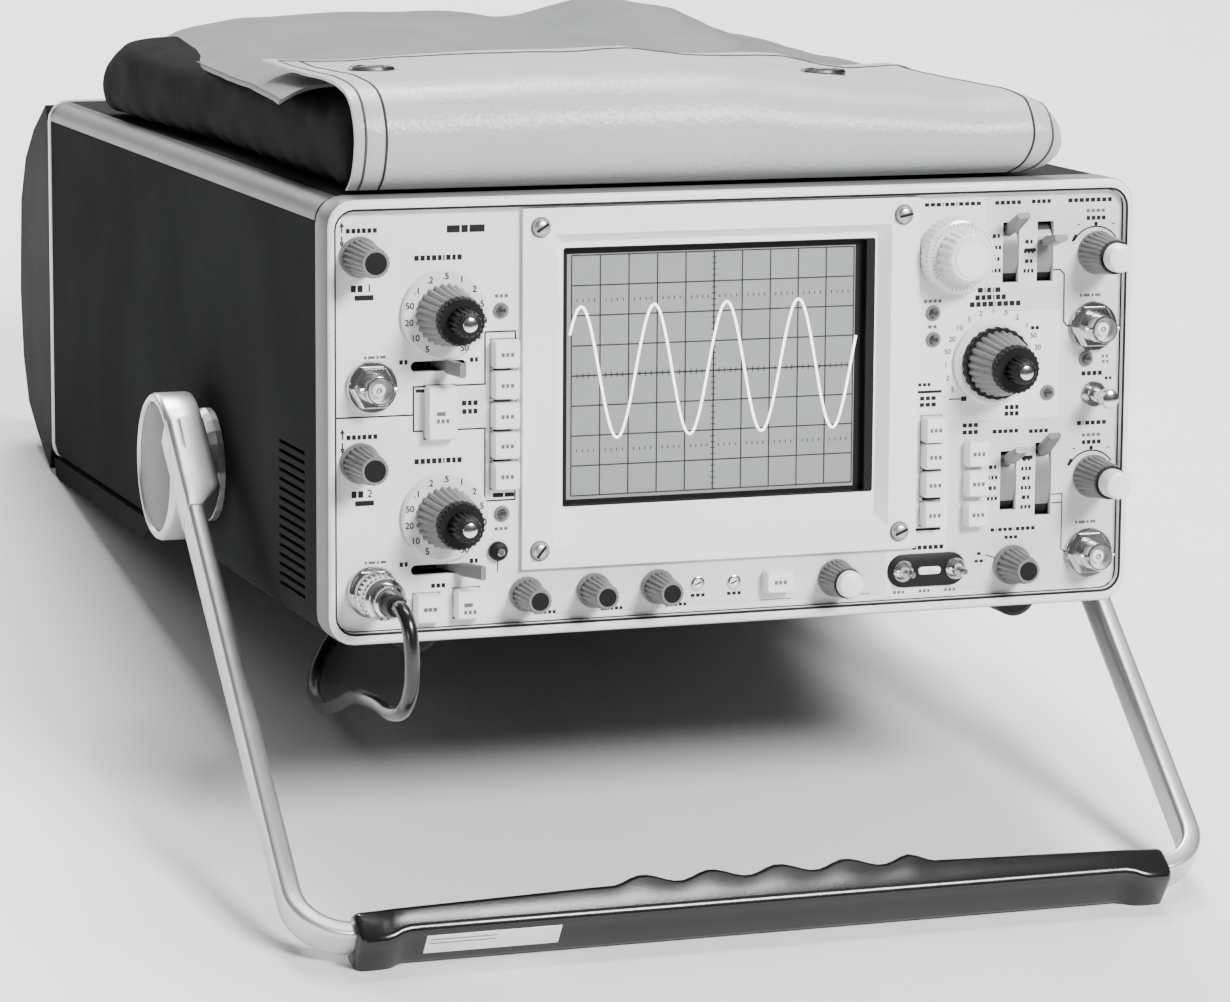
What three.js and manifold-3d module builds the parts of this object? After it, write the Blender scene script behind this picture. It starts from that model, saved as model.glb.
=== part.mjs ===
// Portable dual-trace oscilloscope standing on its carrying handle, with an accessory pouch on top
// and a coaxial patch lead. Millimetres, +Z up, the control panel faces -Y, the floor is z = 0.
// The instrument is drawn square in its own frame (origin at the middle of the front frame's face)
// and one group tilts it back until the rear rails and the handle's end feet share the floor.
import * as THREE from 'three';
import { mergeVertices } from 'three/addons/utils/BufferGeometryUtils.js';
import Module from 'manifold-3d';

const wasm = await Module();
wasm.setup();

// Driving dimensions.
const FRAME_W = 285;
const FRAME_H = 146;
const FRAME_D = 14;
const FRAME_R = 9;
const CASE_W = 285;
const CASE_H = 145;
const CASE_REAR = 404;
const WALL = 1.6;
const PANEL_Y = 3;
const PANEL_W = 278.4;
const PANEL_H = 137.4;
const FEET_Z = -79.3;
const RAIL_START = 250;
const GUARD_Y = 460;
const TILT = THREE.MathUtils.degToRad(12.2);

// Display, in the instrument frame.
const SCREEN_X = -7;
const SCREEN_Z = 11.6;
const OPENING_W = 107;
const OPENING_H = 85.2;
const SUBPANEL_Y = 24;
const GAP = 0.3;

// Handle.
const HUB_Y = 149;
const HUB_Z = -35;
const HUB_R = 26;
const ARM_X = 160.2;
const ARM_LENGTH = 219.5;
const ARM_DOWN = THREE.MathUtils.degToRad(35);
const GRIP_HALF = 143.5;

// Pouch.
const POUCH_LEFT = -134;
const POUCH_RIGHT = 117;
const POUCH_FRONT = 6;
const POUCH_REAR = 346;
const POUCH_BASE = 73.5;

// Patch lead.
const LEAD_D = 5;
const COIL_R = 27;

const materials = {
  cover: { color: 0x3c3f42, roughness: 0.62, metalness: 0.1 },
  casting: { color: 0xd9dad6, roughness: 0.45, metalness: 0.15 },
  panel: { color: 0xe4e4df, roughness: 0.5, metalness: 0.05 },
  bezel: { color: 0xefefec, roughness: 0.42, metalness: 0.0 },
  glass: { color: 0xb7c0bb, roughness: 0.12, metalness: 0.0 },
  tube: { color: 0x8f9a97, roughness: 0.25, metalness: 0.0 },
  plate: { color: 0xb9bcbe, roughness: 0.4, metalness: 0.7 },
  board: { color: 0x3f6b4b, roughness: 0.6, metalness: 0.0 },
  guard: { color: 0x202122, roughness: 0.7, metalness: 0.0 },
  alloy: { color: 0xa9acac, roughness: 0.35, metalness: 0.8 },
  grip: { color: 0x1d1e1f, roughness: 0.45, metalness: 0.0 },
  vinyl: { color: 0x55585b, roughness: 0.5, metalness: 0.0 },
  knob: { color: 0x8b8d8c, roughness: 0.4, metalness: 0.1 },
  darkKnob: { color: 0x2a2b2c, roughness: 0.4, metalness: 0.0 },
  clear: { color: 0xe9eae8, roughness: 0.2, metalness: 0.0 },
  key: { color: 0xf1f1ee, roughness: 0.4, metalness: 0.0 },
  lever: { color: 0x77797a, roughness: 0.45, metalness: 0.0 },
  chrome: { color: 0xc9cccd, roughness: 0.18, metalness: 1.0 },
  cable: { color: 0x161616, roughness: 0.5, metalness: 0.0 },
};

// Solid helpers.
function toSolid(geometry) {
  const bare = geometry.clone();
  bare.deleteAttribute('normal');
  bare.deleteAttribute('uv');
  const merged = mergeVertices(bare, 1e-4);
  const position = merged.attributes.position;
  const index = merged.index.array;
  const a = new THREE.Vector3();
  const b = new THREE.Vector3();
  const c = new THREE.Vector3();
  let volume = 0;
  for (let i = 0; i < index.length; i += 3) {
    a.fromBufferAttribute(position, index[i]);
    b.fromBufferAttribute(position, index[i + 1]);
    c.fromBufferAttribute(position, index[i + 2]);
    volume += a.dot(b.cross(c));
  }
  const triangles = new Uint32Array(index);
  if (volume < 0) {
    for (let i = 0; i < triangles.length; i += 3) {
      triangles[i] = index[i + 1];
      triangles[i + 1] = index[i];
    }
  }
  const mesh = { numProp: 3, vertProperties: new Float32Array(position.array), triVerts: triangles };
  return new wasm.Manifold(new wasm.Mesh(mesh));
}

function toGeometry(solid) {
  const mesh = solid.getMesh();
  const geometry = new THREE.BufferGeometry();
  geometry.setAttribute('position', new THREE.BufferAttribute(new Float32Array(mesh.vertProperties), 3));
  geometry.setIndex(new THREE.BufferAttribute(new Uint32Array(mesh.triVerts), 1));
  const flat = geometry.toNonIndexed();
  flat.computeVertexNormals();
  return flat;
}

function union(parts) {
  return parts.map(toSolid).reduce((whole, next) => whole.add(next));
}

function cut(base, tools) {
  return tools.reduce((whole, tool) => whole.subtract(toSolid(tool)), base);
}

// Axis-aligned box from its low corner to its high corner.
function block(x0, y0, z0, x1, y1, z1) {
  const geometry = new THREE.BoxGeometry(x1 - x0, y1 - y0, z1 - z0);
  return geometry.translate((x0 + x1) / 2, (y0 + y1) / 2, (z0 + z1) / 2);
}

// Closed skin through rings of equal point count, each end filled with a fan.
function loft(rings) {
  const count = rings[0].length;
  const points = rings.flat();
  const triangles = [];
  for (let r = 0; r < rings.length - 1; r += 1) {
    for (let i = 0; i < count; i += 1) {
      const j = (i + 1) % count;
      const low = r * count;
      const high = low + count;
      triangles.push(low + i, low + j, high + j, low + i, high + j, high + i);
    }
  }
  for (const [start, flip] of [[0, true], [(rings.length - 1) * count, false]]) {
    const middle = new THREE.Vector3();
    for (let i = 0; i < count; i += 1) {
      middle.add(points[start + i]);
    }
    points.push(middle.divideScalar(count));
    for (let i = 0; i < count; i += 1) {
      const j = (i + 1) % count;
      const fan = [points.length - 1, start + i, start + j];
      triangles.push(...(flip ? fan.reverse() : fan));
    }
  }
  const geometry = new THREE.BufferGeometry();
  const flat = points.flatMap((p) => [p.x, p.y, p.z]);
  geometry.setAttribute('position', new THREE.Float32BufferAttribute(flat, 3));
  geometry.setIndex(triangles);
  return geometry;
}

// Ring in a plane of constant y: a rectangle with rounded corners.
function roundedRing(width, height, radius, y, x = 0, z = 0, steps = 4) {
  const ring = [];
  const corners = [[1, 1, 0], [-1, 1, 1], [-1, -1, 2], [1, -1, 3]];
  for (const [sx, sz, quarter] of corners) {
    for (let i = 0; i <= steps; i += 1) {
      const angle = (quarter + i / steps) * Math.PI / 2;
      const px = x + sx * (width / 2 - radius) + radius * Math.cos(angle);
      const pz = z + sz * (height / 2 - radius) + radius * Math.sin(angle);
      ring.push(new THREE.Vector3(px, y, pz));
    }
  }
  return ring;
}

// Prism with rounded corners from one y to another.
function roundedPrism(width, height, radius, y0, y1, x = 0, z = 0, steps = 4) {
  return loft([y0, y1].map((y) => roundedRing(width, height, radius, y, x, z, steps)));
}

// Body of revolution about the instrument's depth axis. Profile pairs are [radius, y].
function turned(profile, x, z, segments = 20) {
  const points = profile.map(([radius, y]) => new THREE.Vector2(radius, y));
  return new THREE.LatheGeometry(points, segments).translate(x, 0, z);
}

// Tapered body with scalloped sides about the depth axis. Stations are [radius, y].
function fluted(stations, x, z, lobes, depth) {
  const rings = stations.map(([radius, y]) => {
    const ring = [];
    for (let i = 0; i < lobes * 2; i += 1) {
      const angle = i * Math.PI / lobes;
      const r = i % 2 ? radius - depth : radius;
      ring.push(new THREE.Vector3(x + r * Math.cos(angle), y, z + r * Math.sin(angle)));
    }
    return ring;
  });
  return loft(rings);
}

function addMesh(group, name, solid, material) {
  const mesh = new THREE.Mesh(toGeometry(solid), new THREE.MeshStandardMaterial(materials[material]));
  mesh.name = name;
  group.add(mesh);
}

// Shared placement of the controls.
const sockets = [[-127, 11.6], [-127, -55.8], [129, 22.2], [129, -56.2]];
const verticalSlots = [
  ['b_coupling', 98.2, 48.3, 20.6, 28],
  ['b_source', 110.9, 48.3, 20.6, 12],
  ['a_coupling', 98.8, -29.9, 20.4, 25],
  ['a_source', 111.8, -29.9, 25.2, 34],
];
const levelSlots = [['ch1_coupling', -104.2, 17.6, 19, 8], ['ch2_coupling', -104.2, -49.6, 19, 24]];
const keys = [
  ['vert_ch1', -82, 21, 9, 9.2],
  ['vert_ch2', -82, 10.8, 9, 9.2],
  ['vert_alt', -82, 0.6, 9, 8.6],
  ['vert_chop', -82, -9.2, 9, 8.8],
  ['vert_add', -82, -19.3, 9, 9.2],
  ['bandwidth', -104, 2.5, 10.2, 17.6],
  ['invert', -108.5, -62, 9, 9.4],
  ['beam_find', -94.7, -61.2, 9, 10],
  ['magnifier', 14.3, -59.7, 9.8, 7.6],
  ['display_a', 70, -10.7, 7.4, 8.8],
  ['display_intensified', 70, -19.9, 7.4, 8.4],
  ['display_delayed', 70, -29.5, 7.4, 8.6],
  ['display_b', 70, -39.8, 7.4, 8.4],
  ['trigger_auto', 86, -19.5, 7.8, 9],
  ['trigger_normal', 86, -29.8, 7.8, 9],
  ['trigger_single', 86, -40.4, 7.8, 8.6],
];

// Lowest line of the rear rails decides the floor, less a small level land cut on the rails.
const LAND = 1.0;
const railEnd = new THREE.Vector2(CASE_REAR, FEET_Z);
const floorAtFront = railEnd.y + LAND / Math.cos(TILT) - railEnd.x * Math.tan(TILT);

// Everything below the floor, as a slab in the instrument frame.
function belowFloor() {
  const slab = block(-220, -400, -160, 220, 760, 0);
  slab.rotateX(TILT);
  return slab.translate(0, 0, floorAtFront);
}

function cabinetShell() {
  const front = FRAME_D + GAP;
  const outer = roundedPrism(CASE_W, CASE_H, 8, front, CASE_REAR, 0, 0, 3);
  const inner = roundedPrism(CASE_W - 2 * WALL, CASE_H - 2 * WALL, 6.4, front - 1, CASE_REAR + 1, 0, 0, 3);
  const rails = [];
  for (const side of [-1, 1]) {
    const x0 = side < 0 ? -CASE_W / 2 + 0.6 : CASE_W / 2 - 20;
    const x1 = side < 0 ? -CASE_W / 2 + 20 : CASE_W / 2 - 0.6;
    rails.push(loft([
      railRing(x0, x1, RAIL_START, -76),
      railRing(x0, x1, RAIL_START + 8, FEET_Z),
      railRing(x0, x1, CASE_REAR, FEET_Z),
    ]));
    rails.push(turned([[0, 16], [8, 16], [8, 30], [0, 30]], side * 108, -71.6, 20));
  }
  const slots = [];
  for (const side of [-1, 1]) {
    for (let i = 0; i < 16; i += 1) {
      const z = -14 - i * 3.2;
      slots.push(block(side * CASE_W / 2 - 3, 28, z, side * CASE_W / 2 + 3, 60, z + 1.3));
    }
  }
  const walls = union([outer]).subtract(toSolid(inner));
  const feet = union(rails).subtract(toSolid(block(-135, 10, -70.9, 135, 420, -50)));
  return cut(walls.add(feet), [...slots, belowFloor()]);
}

// Trapezoid section of a bottom rail, in a plane of constant y.
function railRing(x0, x1, y, z) {
  return [
    new THREE.Vector3(x0, y, -70.8),
    new THREE.Vector3(x0 + 0.8, y, z),
    new THREE.Vector3(x1 - 0.8, y, z),
    new THREE.Vector3(x1, y, -70.8),
  ];
}

function frontFrame() {
  const body = loft([
    roundedRing(FRAME_W - 3, FRAME_H - 3, FRAME_R - 1.5, 0),
    roundedRing(FRAME_W - 0.8, FRAME_H - 0.8, FRAME_R - 0.4, 0.6),
    roundedRing(FRAME_W, FRAME_H, FRAME_R, 2),
    roundedRing(FRAME_W, FRAME_H, FRAME_R, FRAME_D),
  ]);
  const hole = roundedPrism(279, 138, 6, -1, FRAME_D + 1);
  return cut(toSolid(body), [hole]);
}

function frontPanel() {
  const plate = roundedPrism(PANEL_W, PANEL_H, 5.7, PANEL_Y, PANEL_Y + 2);
  const holes = [block(-67, 0, -44.5, 55, 9, 60)];
  for (const [x, z] of sockets) {
    holes.push(turned([[0, 0], [6.4, 0], [6.4, 9], [0, 9]], x, z, 24));
  }
  for (const [, x, z, width, height] of keys) {
    const w = width / 2 + GAP;
    const h = height / 2 + GAP;
    holes.push(block(x - w, 0, z - h, x + w, 9, z + h));
  }
  for (const [, x, z, length] of verticalSlots) {
    holes.push(block(x - 3, 0, z - length / 2, x + 3, 9, z + length / 2));
  }
  for (const [, x, z, length] of levelSlots) {
    holes.push(roundedPrism(length, 3.4, 1.6, 0, 9, x, z, 3));
  }
  holes.push(turned([[0, 0], [2.6, 0], [2.6, 9], [0, 9]], 130, -1.3, 16));
  return cut(toSolid(plate), holes);
}

function subpanel() {
  const plate = block(-136, SUBPANEL_Y, -66, 136, SUBPANEL_Y + 2, 66);
  const parts = [plate];
  for (const [x, z] of sockets) {
    parts.push(turned([
      [0, -2.5], [4.1, -2.5], [4.1, -8], [4.8, -8], [4.8, 0.5], [8.5, 0.5],
      [8.5, 2.7], [6, 2.7], [6, SUBPANEL_Y + 1], [0, SUBPANEL_Y + 1],
    ], x, z, 24));
  }
  return cut(union(parts), [block(-64, SUBPANEL_Y - 2, -36, 50, SUBPANEL_Y + 4, 59)]);
}

function displayBezel() {
  const face = block(-76, 1, -51, 64, 2.7, 68.2);
  const well = block(-66.4, 2, -43.9, 54.4, 7.5, 59.4);
  const recess = loft([
    roundedRing(120, 103.4, 1, 0.9, -6, 7.9, 2),
    roundedRing(112.4, 96, 1, 5, -6, 8.6, 2),
  ]);
  const mouth = block(SCREEN_X - OPENING_W / 2, 0, SCREEN_Z - OPENING_H / 2,
    SCREEN_X + OPENING_W / 2, 9, SCREEN_Z + OPENING_H / 2);
  return cut(union([face, well]), [recess, mouth]);
}

function displayFilter() {
  return toSolid(block(SCREEN_X - 58, 7.8, SCREEN_Z - 46, SCREEN_X + 58, 9.6, SCREEN_Z + 46));
}

function crtTube() {
  const stations = [
    [112, 90, 6, 10], [112, 90, 6, 30], [88, 72, 16, 62],
    [54, 48, 20, 110], [30, 30, 14, 150], [30, 30, 14, 300],
  ];
  const rings = stations.map(([w, h, r, y]) => roundedRing(w, h, r, y, SCREEN_X, SCREEN_Z, 3));
  return toSolid(loft(rings));
}

function chassisFrame() {
  const parts = [
    block(-134, 32, -68, 134, 398, -66),
    block(-134, 32, -67, -132, 398, 62),
    block(132, 32, -67, 134, 398, 62),
    block(-133, 180, -67, 133, 182, 62),
    block(60, 300, -66.5, 126, 372, -6),
    block(54, 310, -66.5, 132, 362, -12),
  ];
  const hole = turned([[0, 178], [22, 178], [22, 184], [0, 184]], SCREEN_X, SCREEN_Z, 24);
  return cut(union(parts), [hole]);
}

function mainBoard() {
  const parts = [block(-126, 190, -62, 46, 392, -60)];
  const lumps = [
    [-110, 210, 30, 24, 18], [-60, 214, 24, 40, 12], [-16, 220, 44, 20, 22], [-104, 270, 22, 22, 30],
    [-70, 280, 50, 16, 14], [0, 276, 18, 18, 34], [-112, 330, 60, 30, 16], [-30, 330, 26, 26, 38],
  ];
  for (const [x, y, w, d, h] of lumps) {
    parts.push(block(x, y, -60.5, x + w, y + d, -60 + h));
  }
  for (const [x, y] of [[-120, 196], [38, 196], [-120, 384], [38, 384]]) {
    parts.push(block(x - 3, y - 3, -65.7, x + 3, y + 3, -61));
  }
  return union(parts);
}

// Outline of a rear guard in the depth-height plane, rounded like the casting it stands for.
function guardRing(x) {
  const outline = [
    [400.5, -62], [404.6, -62], [409, -76], [431, -64.5], [447, -54], [456, -36], [GUARD_Y, -9],
    [456.5, 28], [447, 46], [431, 59], [409, 70.5], [404.6, 62], [400.5, 62],
  ];
  return outline.map(([y, z]) => new THREE.Vector3(x, y, z));
}

function rearPanel() {
  const plate = roundedPrism(CASE_W - 5, CASE_H - 5, 5.6, 400, 406, 0, 0, 3);
  const parts = [plate];
  for (const side of [-1, 1]) {
    const outer = side * CASE_W / 2;
    parts.push(loft([guardRing(outer - side * 15), guardRing(outer - side * 3.4)]));
    parts.push(loft([
      guardRing(outer - side * 3.6).map((p) => (p.y < 408 ? p.clone().setY(CASE_REAR + GAP) : p)),
      guardRing(outer).map((p) => (p.y < 408 ? p.clone().setY(CASE_REAR + GAP) : p)),
    ]));
    parts.push(turned([[0, 405], [9, 405], [8, 440], [0, 440]], side * 92, 44, 16));
    parts.push(turned([[0, 405], [9, 405], [8, 440], [0, 440]], side * 92, -48, 16));
  }
  parts.push(block(-118, 405, -22, -92, 412, 2));
  const grille = [turned([[0, 396], [27, 396], [27, 408], [0, 408]], 30, 14, 32)];
  grille.push(block(-114, 407, -18, -96, 414, -2));
  const bars = [];
  for (const angle of [0, 45, 90, 135]) {
    const bar = new THREE.BoxGeometry(58, 1.4, 2).rotateY(THREE.MathUtils.degToRad(angle));
    bars.push(bar.translate(30, 405.2, 14));
  }
  return cut(union(parts), grille).add(union(bars));
}

function fanRotor() {
  const parts = [turned([[0, 386], [9, 386], [9, 400], [0, 400]], 30, 14, 20)];
  for (let i = 0; i < 6; i += 1) {
    const blade = new THREE.BoxGeometry(17, 1.4, 12).rotateX(0.6).translate(15.5, 393, 0);
    blade.rotateY(i * Math.PI / 3);
    parts.push(blade.translate(30, 0, 14));
  }
  return union(parts);
}

// Fixed boss and pivot pin on each side of the case.
function pivotHub(side) {
  const profile = [[0, 142.8], [20, 142.8], [20, 145], [17.5, 149.6], [7, 149.6], [7, 157], [0, 157]];
  const points = profile.map(([radius, x]) => new THREE.Vector2(radius, x));
  const boss = new THREE.LatheGeometry(points, 24).rotateZ(-Math.PI / 2 * side);
  return toSolid(boss.translate(0, HUB_Y, HUB_Z));
}

// Directions of the handle at rest, in the instrument frame.
const along = new THREE.Vector3(0, -Math.cos(ARM_DOWN), -Math.sin(ARM_DOWN));
const across = new THREE.Vector3(0, -Math.sin(ARM_DOWN), Math.cos(ARM_DOWN));
const hub = new THREE.Vector3(0, HUB_Y, HUB_Z);

function handlePoint(x, reach, lift) {
  return hub.clone().addScaledVector(along, reach).addScaledVector(across, lift).setX(x);
}

// One section of the bail: centre, sideways direction in the handle's plane, both widths, and how far
// it stands above the line from the hub to the grip.
function bailRing(x, reach, sideX, sideReach, thickness, width, raise = 0) {
  const ring = [];
  for (let i = 0; i < 12; i += 1) {
    const angle = (i + 0.5) * Math.PI / 6;
    const s = thickness / 2 * Math.sign(Math.cos(angle)) * Math.abs(Math.cos(angle)) ** 0.5;
    const w = width / 2 * Math.sign(Math.sin(angle)) * Math.abs(Math.sin(angle)) ** 0.5;
    ring.push(handlePoint(x + sideX * s, reach + sideReach * s, w + raise));
  }
  return ring;
}

// Section of the block where an arm leaves its drum, flush with the drum's outer face.
function armRoot(side, reach, thickness) {
  const middle = side * (163.4 - thickness / 2);
  const raise = 19.6 - 22 * (reach - 4) / (ARM_LENGTH - 22);
  return bailRing(middle, reach, 1, 0, thickness, 13.6, raise);
}

function handleBail() {
  const corner = 18;
  const start = 4;
  const straight = ARM_LENGTH - corner - start;
  const rings = [0, 0.18, 0.5, 1].map((share) => (
    bailRing(-ARM_X, start + share * straight, 1, 0, 6 + share, 14 - 2.8 * share, 19.6 - 22 * share)
  ));
  for (let i = 1; i <= 4; i += 1) {
    const turn = i / 4 * Math.PI / 2;
    const x = -ARM_X + corner * (1 - Math.cos(turn));
    const reach = ARM_LENGTH - corner + corner * Math.sin(turn);
    rings.push(bailRing(x, reach, Math.cos(turn), -Math.sin(turn), 7, 11.2, -2.4));
  }
  const left = toSolid(loft(rings.concat([bailRing(0.5, ARM_LENGTH, 0, -1, 7, 11.2, -2.4)])));
  const mirrored = rings.map((ring) => ring.map((p) => p.clone().setX(-p.x)));
  const right = toSolid(loft(mirrored.concat([bailRing(-0.5, ARM_LENGTH, 0, -1, 7, 11.2, -2.4)])));
  const drums = [];
  for (const side of [-1, 1]) {
    const profile = [[0, 150], [HUB_R - 1, 150], [HUB_R, 151], [HUB_R, 161.8], [HUB_R - 1.6, 163.6],
      [HUB_R - 3.4, 163.6], [HUB_R - 4, 162.8], [0, 162.8]];
    const points = profile.map(([radius, x]) => new THREE.Vector2(radius, x));
    drums.push(new THREE.LatheGeometry(points, 32).rotateZ(-Math.PI / 2 * side).translate(0, HUB_Y, HUB_Z));
    drums.push(loft([armRoot(side, 3, 13.6), armRoot(side, 34, 13.6), armRoot(side, 42, 6)]));
  }
  const bores = [-1, 1].map((side) => {
    const bore = new THREE.CylinderGeometry(7.3, 7.3, 20, 24).rotateZ(Math.PI / 2);
    return bore.translate(side * 147.6, HUB_Y, HUB_Z);
  });
  return cut(left.add(right).add(union(drums)), bores);
}

// Section of the grip at one x: inner edge carries the finger waves, outer corners are eased.
function gripRing(x, inner, outer, low, high) {
  const e = 2.4;
  const outline = [[inner, low + e], [inner + e, low], [outer - e, low], [outer, low + e],
    [outer, high - e], [outer - e, high], [inner + e, high], [inner, high - e]];
  return outline.map(([reach, lift]) => handlePoint(x, reach, lift));
}

function handleGrip() {
  const inner = ARM_LENGTH - 6.5;
  const outer = ARM_LENGTH + 7;
  const endRings = (side) => [
    gripRing(side * GRIP_HALF, inner + 1.5, outer + 1, -11, 6),
    gripRing(side * (GRIP_HALF - 2), inner + 1.5, outer + 2.4, -12.5, 6.6),
    gripRing(side * (GRIP_HALF - 9), inner + 1.5, outer + 2.4, -12.5, 6.8),
    gripRing(side * (GRIP_HALF - 17), inner + 1.5, outer, -10, 7.6),
  ];
  const rings = endRings(-1);
  for (let x = -66; x <= 66; x += 6) {
    const wave = Math.abs(x) > 60 ? 0 : 1.9 - 1.9 * Math.cos((x + 57) / 24 * 2 * Math.PI - 0.4);
    rings.push(gripRing(x, inner - wave, outer, -10, 7.8));
  }
  rings.push(...endRings(1).reverse());
  const tunnel = [-GRIP_HALF - 5, GRIP_HALF + 5].map((x) => gripTunnel(x));
  return cut(toSolid(loft(rings)), [loft(tunnel), belowFloor()]);
}

function gripTunnel(x) {
  return bailRing(x, ARM_LENGTH, 0, -1, 7.8, 12, -2.4);
}

// Cross-section of the stuffed pouch in the depth-height plane, at one x; its rear part rises.
function pouchRing([x, height, rise, squeeze]) {
  const top = POUCH_BASE + height;
  const f = POUCH_FRONT + squeeze;
  const r = POUCH_REAR - squeeze;
  const outline = [
    [f + 6, POUCH_BASE], [f + 1, POUCH_BASE + 5], [f, POUCH_BASE + height * 0.45],
    [f + 3, POUCH_BASE + height * 0.72], [f + 12, top - 2.4], [f + 30, top - 0.4],
    [f + 110, top + rise * 0.4], [r - 150, top + rise * 0.8], [r - 80, top + rise],
    [r - 20, top + rise - 2], [r - 4, top + rise - 9], [r, POUCH_BASE + height * 0.5],
    [r - 2, POUCH_BASE + 4], [r - 8, POUCH_BASE],
  ];
  return outline.map(([y, z]) => new THREE.Vector3(x, y, z));
}

function pouchBody() {
  const stations = [
    [POUCH_LEFT, 20.5, 1, 9], [POUCH_LEFT + 3, 28.5, 1, 3], [POUCH_LEFT + 14, 31.3, 1.5, 0],
    [-60, 31.7, 6.5, 0], [10, 31, 6.5, 0], [58, 27.5, 14, 0],
    [POUCH_RIGHT - 16, 25, 8, 0], [POUCH_RIGHT - 4, 24, 7.5, 4], [POUCH_RIGHT, 17.5, 7, 10],
  ];
  return toSolid(loft(stations.map(pouchRing)));
}

// Closure panel: one bent sheet that rises in front of the pouch and lies on its top.
function flapOutside([x, height, rise]) {
  const top = POUCH_BASE + height;
  const f = POUCH_FRONT;
  const outline = [
    [f - 3.2, POUCH_BASE + 0.5], [f - 4.2, POUCH_BASE + height * 0.45], [f - 1.6, POUCH_BASE + height * 0.8],
    [f + 9, top + 1.8], [f + 30, top + 4.2], [f + 110, top + 4.8 + rise * 0.4], [f + 110, POUCH_BASE + 0.5],
  ];
  return outline.map(([y, z]) => new THREE.Vector3(x, y, z));
}

function flapInside([x, height, rise]) {
  const top = POUCH_BASE + height;
  const f = POUCH_FRONT;
  const outline = [
    [f - 0.4, POUCH_BASE - 1], [f - 1, POUCH_BASE + height * 0.45], [f + 0.8, POUCH_BASE + height * 0.76],
    [f + 10.8, top - 1.2], [f + 30, top + 0.9], [f + 111, top + 1.6 + rise * 0.4], [f + 111, POUCH_BASE - 1],
  ];
  return outline.map(([y, z]) => new THREE.Vector3(x, y, z));
}

function pouchFlap() {
  const left = POUCH_LEFT + 2;
  const right = POUCH_RIGHT - 2;
  const stations = [[left, 31.3, 1.5], [-60, 31.7, 6.5], [10, 31, 6.5], [58, 27.9, 14], [right, 25, 7.8]];
  const beyond = [[left - 1, 31.3, 1.5], ...stations.slice(1, -1), [right + 1, 25, 7.8]];
  const outside = toSolid(loft(stations.map(flapOutside)));
  return cut(outside, [loft(beyond.map(flapInside))]);
}

// Controls.
function smallKnob(x, z, radius, tip, length) {
  const start = PANEL_Y - GAP;
  const end = start - length;
  return toSolid(fluted([[radius, start], [tip + 0.5, end + 1], [tip, end]], x, z, 12, 0.5));
}

function skirtedKnob(x, z, skirt, radius, tip, length) {
  const start = PANEL_Y - GAP;
  const end = start - length;
  const rim = [[0, start], [skirt, start], [skirt, start - 1.2], [skirt - 1, start - 2], [0, start - 2]];
  const disc = turned(rim, x, z, 32);
  const grip = fluted([[radius, start - 1.8], [tip, end + 0.6], [tip - 0.6, end]], x, z, 16, 0.5);
  return union([disc, grip]);
}

function capKnob(x, z, radius, tip, length, cap, capLength) {
  const start = PANEL_Y - GAP;
  const grip = fluted([[radius, start], [tip, start - length]], x, z, 14, 0.5);
  const front = start - length;
  const end = front - capLength;
  const profile = [[0, front + 1], [cap, front + 1], [cap, end + 0.8], [cap - 0.8, end], [0, end]];
  const button = turned(profile, x, z, 20);
  return union([grip, button]);
}

function delayDial(x, z) {
  const start = PANEL_Y - GAP;
  const rim = [[0, start], [13.0, start], [13.0, start - 6], [11.6, start - 7.4], [0, start - 7.4]];
  const ring = turned(rim, x, z, 28);
  const crown = fluted([[9.4, start - 7], [8.6, start - 15], [7.8, start - 15.6]], x, z, 16, 0.45);
  return union([ring, crown]);
}

function pushKey(x, z, width, height) {
  const w = width;
  const h = height;
  return toSolid(loft([
    roundedRing(w, h, 0.6, 12, x, z, 1),
    roundedRing(w, h, 0.6, -0.6, x, z, 1),
    roundedRing(w - 1, h - 1, 0.5, -1.6, x, z, 1),
  ]));
}

// Lever that turns about a pivot behind the panel, drawn level and then set to its rest angle.
function leverSwitch(x, z, rest, upright) {
  const pivotY = 18;
  const pin = new THREE.CylinderGeometry(2.2, 2.2, 5, 12).rotateZ(Math.PI / 2);
  const bar = loft([
    roundedRing(2.6, 2.2, 0.5, 1, 0, 0, 1),
    roundedRing(3, 2.4, 0.5, -15.5, 0, 0, 1),
    roundedRing(4.4, 3.4, 0.6, -19, 0, 0, 1),
    roundedRing(4.8, 2.2, 0.6, -29, 0, 0, 1),
  ]);
  const parts = [pin, bar];
  for (const part of parts) {
    part.rotateX(-THREE.MathUtils.degToRad(rest));
    if (!upright) {
      part.rotateY(Math.PI / 2);
    }
    part.translate(x, pivotY, z);
  }
  return union(parts);
}

function powerKnob() {
  const profile = [[0, 12], [2.2, 12], [2.2, -6], [3.2, -7], [3.4, -10], [2.6, -12], [0, -12]];
  return toSolid(turned(profile, 130, -1.3, 16));
}

function innerKnob(x, z, radius, tip, start, length) {
  const end = start - length;
  return toSolid(fluted([[radius, start], [tip + 0.3, end + 1.2], [tip - 0.4, end]], x, z, 10, 0.4));
}

// Patch lead: plug on the lower left socket, lead down and back under the case, coil and far plug.
function plugNear() {
  const [x, z] = sockets[1];
  const profile = [
    [0, -8.3], [5.1, -8.3], [5.1, 0], [7.3, 0], [7.3, -9.6], [6.8, -10.6], [6.8, -12.4], [5.4, -13.4],
    [5.4, -18], [3.6, -19.4], [3.4, -25.6], [0, -25.6],
  ];
  return toSolid(turned(profile, x, z, 20));
}

function toFloorFrame(point) {
  const turnedPoint = point.clone().applyAxisAngle(new THREE.Vector3(1, 0, 0), -TILT);
  return turnedPoint.add(lift);
}

const lift = new THREE.Vector3(0, 0, -floorAtFront * Math.cos(TILT));
const coilAt = new THREE.Vector3(44, 296, 6);

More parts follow.
